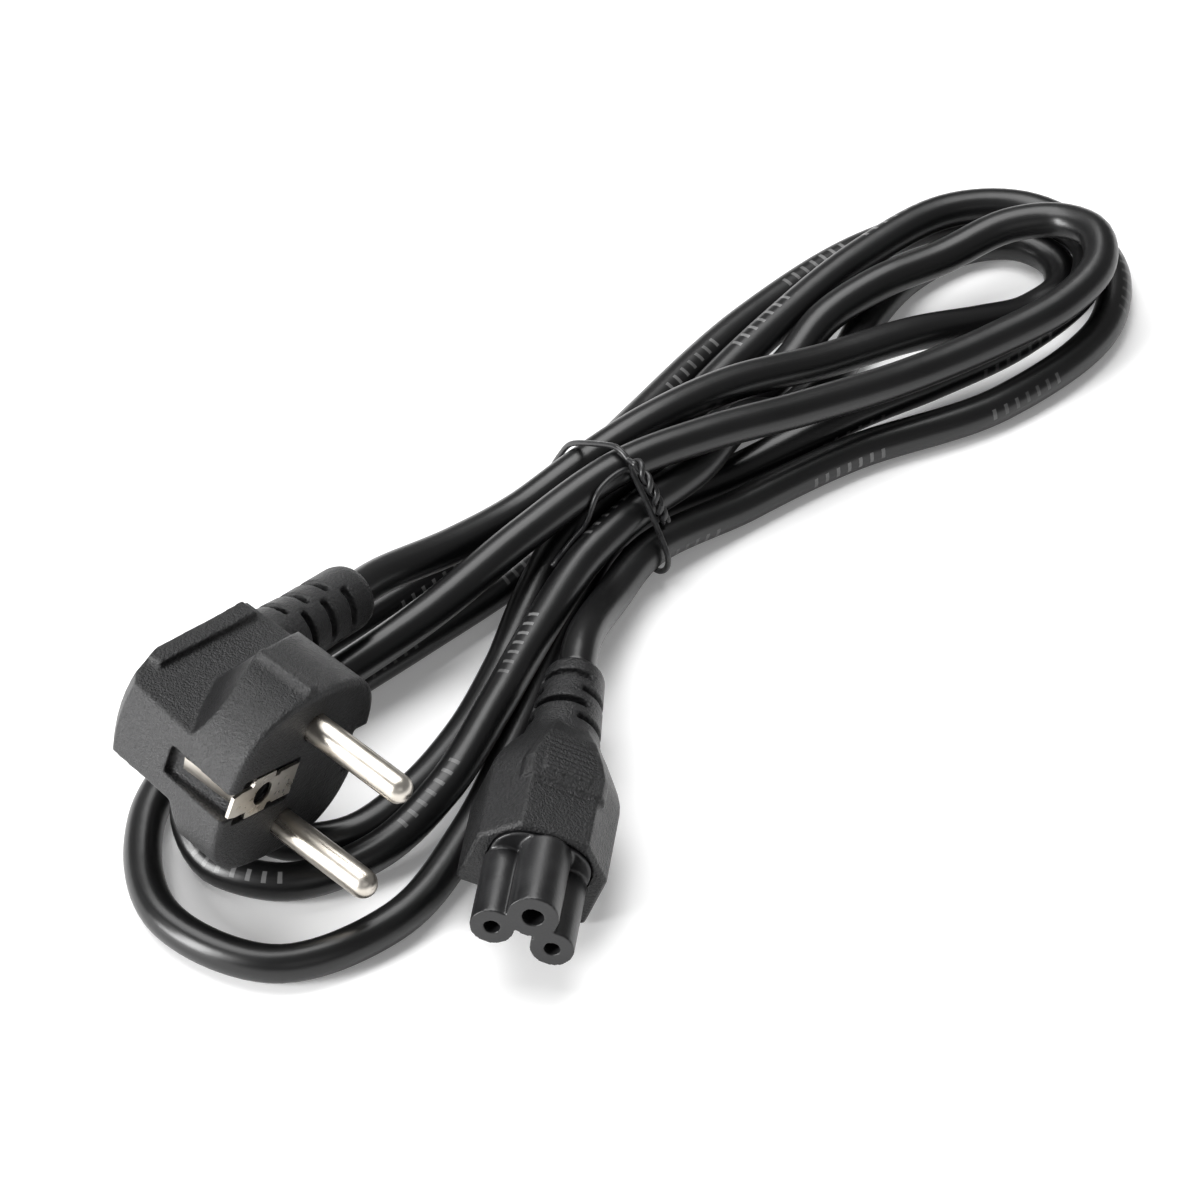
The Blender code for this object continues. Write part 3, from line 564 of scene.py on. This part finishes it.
def smooth_route(points, steps=ROUTE_STEPS):
    """Centripetal Catmull-Rom samples of a route."""
    ends = [2 * points[0] - points[1], *points, 2 * points[-1] - points[-2]]
    samples = []
    for a, b, c, d in zip(ends, ends[1:], ends[2:], ends[3:]):
        t1 = (b - a).length ** 0.5
        t2 = t1 + (c - b).length ** 0.5
        t3 = t2 + (d - c).length ** 0.5
        for i in range(steps):
            t = t1 + (t2 - t1) * i / steps
            ab = a.lerp(b, t / t1)
            bc = b.lerp(c, (t - t1) / (t2 - t1))
            cd = c.lerp(d, (t - t2) / (t3 - t2))
            abc = ab.lerp(bc, t / t2)
            bcd = bc.lerp(cd, (t - t1) / (t3 - t1))
            samples.append(abc.lerp(bcd, (t - t1) / (t2 - t1)))
    samples.append(points[-1])
    return samples


def evenly(samples, step):
    """The line through the samples, cut into equal lengths of about one step."""
    spans = [0.0]
    for here, after in zip(samples, samples[1:]):
        spans.append(spans[-1] + (after - here).length)
    count = round(spans[-1] / step)
    points = []
    at = 0
    for k in range(count + 1):
        wanted = spans[-1] * k / count
        while at < len(spans) - 2 and spans[at + 1] < wanted:
            at += 1
        share = (wanted - spans[at]) / (spans[at + 1] - spans[at])
        points.append(samples[at].lerp(samples[at + 1], min(share, 1.0)))
    return points, spans[-1]


def neck_frame():
    start = Vector((NECK_START, *NECK_START_PLACE))
    end = Vector((NECK_END, *NECK_END_PLACE))
    along = (end - start).normalized()
    across = (Vector((0, 0, 1)) - along * along.z).normalized()
    return start, end, along, across, along.cross(across)


def route_samples(plug, connector):
    _, end, along, _, _ = neck_frame()
    plug_exit = [plug @ (end + along * reach) for reach in (GAP, STRAIGHT_OUT)]
    connector_exit = [connector @ Vector((0, 0, CONNECTOR_END - reach)) for reach in (STRAIGHT_OUT, GAP)]
    points = [*plug_exit, *(Vector(point) * MM for point in ROUTE_MM), *connector_exit]
    floor = CORD_DIAMETER / 2
    return [Vector((p.x, p.y, max(p.z, floor))) for p in smooth_route(points)]


def tube(name, points, radius, sides, finish):
    """A round tube with length and turn as its UV, in metres and in whole turns."""
    bm = bmesh.new()
    uv = bm.loops.layers.uv.new("lay")
    rings = []
    lengths = [0.0]
    side = None
    for i, here in enumerate(points):
        before, after = points[max(i - 1, 0)], points[min(i + 1, len(points) - 1)]
        forward = (after - before).normalized()
        if side is None:
            side = forward.orthogonal().normalized()
        side = (side - side.dot(forward) * forward).normalized()
        up = forward.cross(side)
        if i:
            lengths.append(lengths[-1] + (here - points[i - 1]).length)
        turns = [2 * math.pi * k / sides for k in range(sides)]
        rings.append([bm.verts.new(here + radius * (side * math.cos(t) + up * math.sin(t))) for t in turns])
    for i, (low, high) in enumerate(zip(rings, rings[1:])):
        for k in range(sides):
            j = (k + 1) % sides
            face = bm.faces.new((low[k], low[j], high[j], high[k]))
            spots = ((i, k), (i, k + 1), (i + 1, k + 1), (i + 1, k))
            for loop, (row, column) in zip(face.loops, spots):
                loop[uv].uv = (lengths[row], column / sides)
    bm.faces.new(rings[0][::-1])
    bm.faces.new(rings[-1])
    return add_mesh(name, bm, None, finish)


# The plug

def grip_half_width(x):
    """How far a grip's flat lies from the plug's middle plane at x."""
    return GRIP_HALF_WIDTH - GRIP_LEAN * x


def cut_grips(shell, place):
    """The finger grips: a flat at each side behind the head, up to a sloping front wall."""
    outside = PLUG_HALF_WIDTH + CUT_REACH
    rear = -PLUG_DEPTH - GRIP_CUT_REAR
    edge = [(reach * PLUG_RADIUS, -PLUG_HEAD_DEPTH - behind) for reach, behind in GRIP_FRONT]
    for sign, name in ((-1, "upper"), (1, "lower")):
        inner, outer = [], []
        for x, z in edge:
            inner.append((x, sign * grip_half_width(x), z))
            outer.append((x, sign * outside, z + GRIP_WALL_SLOPE * (outside - grip_half_width(x))))
        for x, y, z in (inner[-1], inner[0]):
            inner.append((x, y, rear))
            outer.append((x, sign * outside, rear))
        bm = bmesh.new()
        add_loft(bm, [inner, outer])
        combine(shell, add_mesh(f"helper_{name}_grip", bm, place), "DIFFERENCE")


def add_grip_ribs(shell, place):
    bm = bmesh.new()
    for sign in (-1, 1):
        rings = []
        for x in (GRIP_RIB_START, GRIP_RIB_END):
            flat = grip_half_width(x)
            low, high = sign * (flat - JOIN_DEPTH), sign * (flat + GRIP_RIB_HEIGHT)
            front = -PLUG_DEPTH + GRIP_RIB_WIDTH - (x - GRIP_RIB_START) * GRIP_RIB_LEAN
            rear = -PLUG_DEPTH - CUT_REACH
            chamfered = front - GRIP_RIB_CHAMFER
            rings.append([(x, low, front), (x, high, chamfered), (x, high, rear), (x, low, rear)])
        add_loft(bm, rings)
    combine(shell, add_mesh("helper_grip_ribs", bm, place), "UNION")


def cut_rear(shell, place):
    """The rear wall, which bulges in the middle to carry the strain relief."""
    wall = [(PLUG_RADIUS - inside, -PLUG_DEPTH + before) for inside, before in REAR_WALL]
    far = -PLUG_DEPTH - WALL_CUT_REAR
    half = grip_half_width(-PLUG_BACK_RADIUS)
    rings = []
    for share in (-2.0, -1.0, -0.85, -0.7, -0.5, -0.25, 0.0, 0.25, 0.5, 0.7, 0.85, 1.0, 2.0):
        bulge = PLUG_REAR_BULGE * max(0.0, 1 - share * share)
        ring = [(x, share * half, z - bulge) for x, z in wall]
        ring += [(wall[-1][0], share * half, far), (wall[0][0], share * half, far)]
        rings.append(ring)
    bm = bmesh.new()
    add_loft(bm, rings)
    combine(shell, add_mesh("helper_rear", bm, place), "DIFFERENCE")


def add_neck(shell, place):
    start, end, _, across, side = neck_frame()
    turns = [2 * math.pi * i / 64 for i in range(64)]
    profile = (
        (0.0, NECK_ROOT_RADIUS), (0.22, NECK_ROOT_RADIUS - 0.5 * MM), (0.3, NECK_ROOT_RADIUS - 1.1 * MM),
        (0.38, NECK_RADIUS + 0.4 * MM), (0.6, NECK_RADIUS), (0.95, NECK_RADIUS - 0.1 * MM),
        (0.985, NECK_RADIUS - 0.4 * MM), (1.0, NECK_RADIUS - 0.9 * MM),
    )
    bm = bmesh.new()
    add_loft(bm, [
        [start.lerp(end, share) + radius * (across * math.cos(t) + side * math.sin(t)) for t in turns]
        for share, radius in profile
    ])
    combine(shell, add_mesh("helper_neck", bm, place), "UNION")


def cut_neck_slots(shell, place):
    start, end, _, across, side = neck_frame()
    length = (end - start).length

    def on_neck(u, v, share):
        return start.lerp(end, share) + across * u + side * v

    half = NECK_SLOT_WIDTH / 2 / length
    inner, outer = NECK_RADIUS - NECK_SLOT_DEPTH, NECK_RADIUS + CUT_REACH
    bm = bmesh.new()
    add_slots(bm, NECK_SLOTS, half, inner, outer, NECK_SLOT_TURN, NECK_SLOT_SPAN, on_neck)
    combine(shell, add_mesh("helper_slots", bm, place), "DIFFERENCE")


def cut_plug_openings(shell, place):
    """Notches, the earth plate's pocket, and the bores for the pins and for the earth pin."""
    out = OPENING_REACH
    bm = bmesh.new()
    half = NOTCH_HALF_WIDTH
    add_box(bm, (NOTCH_FLOOR, -half, -NOTCH_DEPTH), (PLUG_RADIUS + out, half, out))
    half = BACK_NOTCH_HALF_WIDTH
    add_box(bm, (-PLUG_BACK_RADIUS - out, -half, -NOTCH_DEPTH), (-BACK_NOTCH_FLOOR, half, out))
    half = EARTH_PLATE_HALF_WIDTH + GAP
    add_box(bm, (EARTH_PLATE_START - GAP, -half, -EARTH_PLATE_POCKET), (NOTCH_FLOOR + 0.4 * MM, half, out))
    for sign in (-1, 1):
        centre = (0.0, sign * PIN_SPACING / 2)
        add_loft(bm, [circle(PIN_DIAMETER / 2, z, centre) for z in (-PIN_ROOT, out)])
    add_loft(bm, [circle(EARTH_HOLE_DIAMETER / 2, z, (EARTH_HOLE_X, 0.0)) for z in (-EARTH_HOLE_DEPTH, out)])
    combine(shell, add_mesh("helper_openings", bm, place), "DIFFERENCE", overlapping=True)


def plug_shell(place, finish):
    r, b, w = PLUG_RADIUS, PLUG_BACK_RADIUS, PLUG_HALF_WIDTH
    edge, power = PLUG_EDGE, PLUG_SQUARENESS
    far = PLUG_DEPTH + BLANK_REAR
    bm = bmesh.new()
    add_loft(bm, [
        oval(r - edge, b - edge, w - edge, power, 0.0, power),
        oval(r - 0.3 * edge, b - 0.3 * edge, w - 0.3 * edge, power, -0.3 * edge, power),
        oval(r, b, w, power, -edge, power),
        oval(r - PLUG_TAPER * far, b, w, power, -far, power),
    ])
    shell = add_mesh("plug_overmould", bm, place, finish)
    cut_grips(shell, place)
    add_grip_ribs(shell, place)
    cut_rear(shell, place)
    add_neck(shell, place)
    bm = bmesh.new()
    half = HEAD_RIB_WIDTH / 2
    low, high = -w - HEAD_RIB_HEIGHT, -w + JOIN_DEPTH
    add_box(bm, (HEAD_RIB_X - half, low, -HEAD_RIB_LENGTH - edge), (HEAD_RIB_X + half, high, -edge))
    combine(shell, add_mesh("helper_head_rib", bm, place), "UNION")
    cut_plug_openings(shell, place)
    cut_neck_slots(shell, place)
    mould(shell, PLUG_VOXEL, 4)
    dress(shell, "moulded_pvc", "plug_body")
    return shell


def pin(name, sign, place, finish):
    radius = PIN_DIAMETER / 2
    centre = (0.0, sign * PIN_SPACING / 2)
    bm = bmesh.new()
    rings = [circle(radius, -PIN_ROOT + GAP, centre)]
    rings += [circle(radius, z * MM, centre) for z in (0.0, 5.0, 10.0, 15.0)]
    for k in range(10):
        turn = math.radians(9.6 * k)
        height = PIN_LENGTH - radius + radius * math.sin(turn)
        rings.append(circle(radius * math.cos(turn), height, centre))
    add_loft(bm, rings)
    made = add_mesh(name + "_plated", bm, place, finish)
    dress(made, "nickel_plate", name)
    return made


def earth_spring(place, finish):
    """The earthing contact: the pressed plate on the face and the domed springs in both notches."""
    lug = EARTH_PLATE_HALF_WIDTH
    half_outline = (
        (EARTH_PLATE_START, 0.78 * lug), (5.6 * MM, 0.78 * lug), (5.9 * MM, 0.66 * lug),
        (6.9 * MM, 0.66 * lug), (7.2 * MM, lug), (12.0 * MM, lug),
        (12.4 * MM, 0.62 * lug), (15.0 * MM, 0.62 * lug), (16.8 * MM, 0.5 * lug),
    )
    outline = [*half_outline, *((x, -y) for x, y in half_outline[::-1])]
    bm = bmesh.new()
    add_loft(bm, [[(x, y, z) for x, y in outline] for z in (-EARTH_SHEET, EARTH_PLATE_PROUD)])
    plate = add_mesh("earth_plate", bm, place, finish, smooth=False)
    bm = bmesh.new()
    radius = EARTH_HOLE_DIAMETER / 2 - 0.3 * MM
    add_loft(bm, [circle(radius, z, (EARTH_HOLE_X, 0.0)) for z in (-4 * MM, 4 * MM)])
    combine(plate, add_mesh("helper_hole", bm, place), "DIFFERENCE")

    half = EARTH_SPRING_HALF_WIDTH
    shares = [i / 6 for i in range(-6, 7)]
    springs = (
        ("front", NOTCH_FLOOR + 0.6 * MM, 1, -0.2 * MM),
        ("back", -BACK_NOTCH_FLOOR - 0.5 * MM, -1, -1.2 * MM),
    )
    for name, crown, facing, top in springs:
        outer = [(crown - facing * EARTH_SPRING_FALL * (k + 1), half * k) for k in shares]
        inner = [(x - facing * EARTH_SHEET, y) for x, y in outer[::-1]]
        bm = bmesh.new()
        add_loft(bm, [[(x, y, z) for x, y in outer + inner] for z in (-NOTCH_DEPTH + 2.3 * MM, top)])
        combine(plate, add_mesh(f"helper_{name}_spring", bm, place, smooth=False), "UNION")
    bevel = plate.modifiers.new("edges", "BEVEL")
    bevel.width = 0.1 * MM
    bevel.segments = 2
    bevel.limit_method = "ANGLE"
    bevel.angle_limit = math.radians(40)
    settle(plate)
    dress(plate, "nickel_plate", "earth_contact")
    return plate


# The connector

def housing_reach(turn):
    """How far the housing's six-sided section reaches from its middle in one direction."""
    w, t = CONNECTOR_HALF_WIDTH, CONNECTOR_TOP_HALF_WIDTH
    low, side, top = -CONNECTOR_UNDERSIDE, CONNECTOR_SIDE_TOP, CONNECTOR_TOP
    corners = [(w, low), (w, side), (t, top), (-t, top), (-w, side), (-w, low)]
    c, s = math.cos(turn), math.sin(turn)
    reach = []
    for (ax, ay), (bx, by) in zip(corners, corners[1:] + corners[:1]):
        nx, ny = by - ay, ax - bx
        facing = c * nx + s * ny
        if facing > 1e-9:
            reach.append((ax * nx + ay * ny) / facing)
    return min(reach)


def housing_ring(height, roundness, shrink=0.0, count=144):
    ring = []
    for i in range(count):
        turn = 2 * math.pi * i / count
        reach = (1 - roundness) * (housing_reach(turn) - shrink) + roundness * CONNECTOR_NECK_RADIUS
        ring.append((reach * math.cos(turn), reach * math.sin(turn), height))
    return ring


def insert_ring(half_width, half_height, z):
    ring = oval(half_width, half_width, half_height, 2.4, z, 2.4, 96)
    return [(x, y + INSERT_CENTRE, z) for x, y, z in ring]


def add_saddle(shell, place):
    """The raised saddle on the connector's top, from behind its front panel into the neck."""
    rings = []
    for along, half, top in SADDLE_SECTIONS:
        corners = ((-half - 0.9, 2.0), (half + 0.9, 2.0), (half + 0.5, top - 1.1), (half - 0.5, top))
        mirrored = ((-half + 0.5, top), (-half - 0.5, top - 1.1))
        rings.append([(x * MM, y * MM, along * MM) for x, y in corners + mirrored])
    bm = bmesh.new()
    add_loft(bm, rings)
    combine(shell, add_mesh("helper_saddle", bm, place), "UNION")


def add_grip_pad(shell, place):
    """Fine cross ribs on the saddle, which get lower to the rear, and the narrow groove in front of them."""
    half, rib, low = PAD_HALF_WIDTH, PAD_RIB_HALF, SADDLE_TOP - 1.2 * MM
    bm = bmesh.new()
    for k in range(PAD_RIBS):
        z = PAD_FRONT + (PAD_BACK - PAD_FRONT) * k / (PAD_RIBS - 1)
        high = PAD_TOP + (z - PAD_FRONT) * PAD_FALL
        add_box(bm, (-half, low, z - rib), (half, high, z + rib))
    combine(shell, add_mesh("helper_pad", bm, place), "UNION")
    bm = bmesh.new()
    add_box(bm, (-4.4 * MM, 8.5 * MM, -25.3 * MM), (4.4 * MM, 11 * MM, -24.8 * MM))
    combine(shell, add_mesh("helper_groove", bm, place), "DIFFERENCE")


def connector_shell(place, finish):
    front, shoulder, neck, end = CONNECTOR_FRONT, CONNECTOR_SHOULDER, CONNECTOR_NECK, CONNECTOR_END
    fall = neck - shoulder
    bm = bmesh.new()
    add_loft(bm, [
        housing_ring(front, 0.0, 0.5 * MM),
        housing_ring(front - 0.5 * MM, 0.0),
        housing_ring(shoulder, 0.0),
        housing_ring(shoulder + 0.15 * fall, 0.05),
        housing_ring(shoulder + 0.3 * fall, 0.16),
        housing_ring(shoulder + 0.45 * fall, 0.32),
        housing_ring(shoulder + 0.6 * fall, 0.5),
        housing_ring(shoulder + 0.85 * fall, 0.86),
        housing_ring(neck, 1.0),
        circle(CONNECTOR_END_RADIUS, end + 1.0 * MM, count=144),
        circle(CONNECTOR_END_RADIUS - 0.3 * MM, end + 0.3 * MM, count=144),
        circle(CONNECTOR_END_RADIUS - 0.8 * MM, end, count=144),
    ])
    shell = add_mesh("connector_overmould", bm, place, finish)
    add_saddle(shell, place)
    add_grip_pad(shell, place)
    bm = bmesh.new()
    width, height = INSERT_HALF_WIDTH + INSERT_GAP, INSERT_HALF_HEIGHT + INSERT_GAP
    add_loft(bm, [insert_ring(width, height, z) for z in (front - POCKET_DEPTH, front + OPENING_REACH)])
    combine(shell, add_mesh("helper_pocket", bm, place), "DIFFERENCE")
    bm = bmesh.new()
    half = NECK_SLOT_WIDTH / 2
    inner = (CONNECTOR_NECK_RADIUS + CONNECTOR_END_RADIUS) / 2 - NECK_SLOT_DEPTH
    outer = CONNECTOR_NECK_RADIUS + CUT_REACH

    def on_axis(u, v, along):
        return Vector((u, v, along))

    add_slots(bm, CONNECTOR_SLOTS, half, inner, outer, CONNECTOR_SLOT_TURN, CONNECTOR_SLOT_SPAN, on_axis)
    combine(shell, add_mesh("helper_slots", bm, place), "DIFFERENCE")
    mould(shell, CONNECTOR_VOXEL, 3)
    dress(shell, "moulded_pvc", "connector_body")
    return shell


def insert_block(place, finish):
    back = CONNECTOR_FRONT - POCKET_DEPTH + GAP
    proud = CONNECTOR_FRONT + INSERT_PROUD
    bm = bmesh.new()
    add_loft(bm, [insert_ring(INSERT_HALF_WIDTH, INSERT_HALF_HEIGHT, z) for z in (back, proud)])
    block = add_mesh("insert_barrels", bm, place, finish)
    poles = (
        ((-POLE_SPREAD, 0.0), POLE_RADIUS, POLE_MOUTH_DIAMETER / 2),
        ((POLE_SPREAD, 0.0), POLE_RADIUS, POLE_MOUTH_DIAMETER / 2),
        ((0.0, EARTH_POLE_RISE), EARTH_POLE_RADIUS, EARTH_MOUTH_DIAMETER / 2),
    )
    for number, (centre, radius, _) in enumerate(poles):
        bm = bmesh.new()
        add_loft(bm, [circle(radius, z, centre) for z in (CONNECTOR_FRONT + GAP, 0.0)])
        combine(block, add_mesh(f"helper_barrel_{number}", bm, place), "UNION")
    bm = bmesh.new()
    for centre, _, mouth in poles:
        add_loft(bm, [circle(mouth, z, centre) for z in (-BORE_LOOK_DEPTH, 2 * MM)])
    combine(block, add_mesh("helper_bores", bm, place), "DIFFERENCE")
    mould(block, INSERT_VOXEL, 2)
    dress(block, "insert_plastic", "connector_insert")
    return block


# The twist tie

def eased(points, rounds):
    """The points with their corners drawn in a little, the two ends kept."""
    for _ in range(rounds):
        inner = [(a + 2 * b + c) / 4 for a, b, c in zip(points, points[1:], points[2:])]
        points = [points[0], *inner, points[-1]]
    return points


def tie_tail(samples, finish):
    """The loose end of the tie, which lies over the runs of the lead."""
    reach = (CORD_DIAMETER + TIE_LOOK_DIAMETER) / 2
    points = []
    for spot in smooth_route([Vector((*place, 0.0)) * MM for place in TIE_TAIL], 8):
        heights = [TIE_LOOK_DIAMETER / 2]
        for sample in samples:
            aside = (sample.xy - spot.xy).length
            if aside < reach:
                heights.append(sample.z + math.sqrt(reach * reach - aside * aside))
        points.append(Vector((spot.x, spot.y, max(heights) + 0.2 * MM)))
    line, _ = evenly(eased(points, 4), TIE_STEP)
    tail = tube("tie_tail", line, TIE_LOOK_DIAMETER / 2, TIE_SIDES, finish)
    dress(tail, "tie_coating")
    return tail


def tie_loop(samples):
    """Points round the bundle where the tie holds it, and the directions across and along the hank."""
    along = Vector((*TIE_ALONG, 0.0)).normalized()
    across = Vector((along.y, -along.x, 0.0))
    place = Vector((*TIE_PLACE, 0.0))
    strands = []
    for a, b in zip(samples, samples[1:]):
        before, after = (a - place).dot(along), (b - place).dot(along)
        if before * after <= 0 and before != after:
            at = a.lerp(b, before / (before - after))
            strands.append(((at - place).dot(across), at.z))
    grow = CORD_DIAMETER / 2 + TIE_CLEARANCE + TIE_WIRE_DIAMETER / 2
    loop = []
    for degrees in range(TIE_LOOP_START, TIE_LOOP_START + TIE_LOOP_TURN, TIE_LOOP_STEP):
        turn = math.radians(degrees)
        u, v = math.cos(turn), math.sin(turn)
        x, z = max(strands, key=lambda strand: strand[0] * u + strand[1] * v)
        height = max(z + grow * v, TIE_WIRE_DIAMETER / 2)
        loop.append(place + across * (x + grow * u) + Vector((0, 0, height)))
    return eased(loop, 5), across, along


def twist_tie(samples, finish):
    """The tie's wire: its loop round the hank, with both ends twisted together."""
    loop, across, along = tie_loop(samples)
    base = (loop[0] + loop[-1]) / 2
    up = Vector((0, 0, 1))
    drop = [base + across * aside * MM + up * rise * MM + along * on * MM for aside, rise, on in TIE_TWIST]
    centre, _ = evenly(smooth_route(drop), 0.4 * MM)
    pair = TIE_LOOK_DIAMETER / 2 + 0.05 * MM
    ends = ([], [])
    travelled = 0.0
    for here, after in zip(centre, centre[1:]):
        forward = (after - here).normalized()
        side = forward.cross(along).normalized()
        other = forward.cross(side)
        turn = 2 * math.pi * travelled / TWIST_PITCH + math.pi / 2
        for strand, phase in zip(ends, (0.0, math.pi)):
            offset = side * math.cos(turn + phase) + other * math.sin(turn + phase)
            strand.append(here + pair * offset)
        travelled += (after - here).length
    first, second = ends
    if (first[0] - loop[0]).length > (second[0] - loop[0]).length:
        first, second = second, first
    line, _ = evenly(smooth_route(first[::-1][::3] + loop + second[::3], 6), TIE_STEP)
    wire = tube("tie_wire", line, TIE_LOOK_DIAMETER / 2, TIE_SIDES, finish)
    dress(wire, "tie_coating", "twist_tie")
    return wire


# Floor, light and camera

def stage():
    bm = bmesh.new()
    bmesh.ops.create_grid(bm, x_segments=1, y_segments=1, size=3.0)
    floor = add_mesh("floor", bm, None, floor_paper())
    floor.location.z = -0.0002


def area_light(name, place, target, size, power):
    data = bpy.data.lights.new(name, "AREA")
    data.shape = "RECTANGLE"
    data.size, data.size_y = size
    data.energy = power
    made = bpy.data.objects.new(name, data)
    made.location = place
    made.rotation_euler = (Vector(target) - Vector(place)).to_track_quat("-Z", "Y").to_euler()
    bpy.context.scene.collection.objects.link(made)


def studio():
    world = bpy.data.worlds.new("studio")
    world.use_nodes = True
    world.node_tree.nodes["Background"].inputs["Color"].default_value = (1.0, 1.0, 1.0, 1.0)
    world.node_tree.nodes["Background"].inputs["Strength"].default_value = 0.2
    bpy.context.scene.world = world
    bpy.context.scene.view_settings.view_transform = "Standard"
    area_light("top_box", (-0.2, 0.3, 0.95), (0, 0, 0), (1.1, 0.8), 14.0)
    area_light("left_box", (-0.95, -0.55, 0.5), (0, 0, 0.02), (0.35, 0.5), 13.0)
    area_light("low_box", (-1.0, -0.45, 0.16), (-0.05, -0.07, 0.02), (0.5, 0.2), 7.0)
    area_light("front_box", (0.3, -0.9, 0.55), (0, 0, 0.02), (0.7, 0.4), 0.5)


def camera():
    data = bpy.data.cameras.new("camera")
    data.sensor_width = CAMERA_SENSOR
    data.lens = CAMERA_LENS
    data.clip_start = 0.05
    data.clip_end = 20.0
    made = bpy.data.objects.new("camera", data)
    back = Vector((0.0, -math.cos(CAMERA_PITCH), math.sin(CAMERA_PITCH)))
    made.location = CAMERA_TARGET + back * CAMERA_DISTANCE
    made.rotation_euler = (math.pi / 2 - CAMERA_PITCH, 0.0, 0.0)
    bpy.context.scene.collection.objects.link(made)
    bpy.context.scene.camera = made


def main():
    camera()
    studio()
    stage()
    plug = frame_of(PLUG_FACE, PLUG_X, PLUG_Z)
    connector = frame_of(CONNECTOR_NOSE, CONNECTOR_X, CONNECTOR_Z)
    samples = route_samples(plug, connector)

    pvc = moulded_pvc()
    nickel = plated_metal("nickel_plate", (0.5, 0.46, 0.4), (0.66, 0.62, 0.56), 0.24, 0.36, (900, 900, 60))
    brass = plated_metal("contact_brass", (0.5, 0.36, 0.16), (0.66, 0.5, 0.25), 0.25, 0.4, (900, 900, 60))

    line, length = evenly(samples, CORD_STEP)
    lead = tube("lead", line, CORD_DIAMETER / 2, CORD_SIDES, cord_jacket())
    dress(lead, "cord_jacket", "cord")

    shell = plug_shell(plug, pvc)
    pins = [pin("line_pin", -1, plug, nickel), pin("neutral_pin", 1, plug, nickel)]
    contact = earth_spring(plug, nickel)
    housing = connector_shell(connector, pvc)
    insert = insert_block(connector, insert_plastic())
    coating = tie_coating()
    wire = twist_tie(line, coating)
    tail = tie_tail(line, coating)
    for node in ("contact_line", "contact_neutral", "contact_earth"):
        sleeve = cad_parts[node]
        sleeve.data.materials.clear()
        sleeve.data.materials.append(brass)


main()
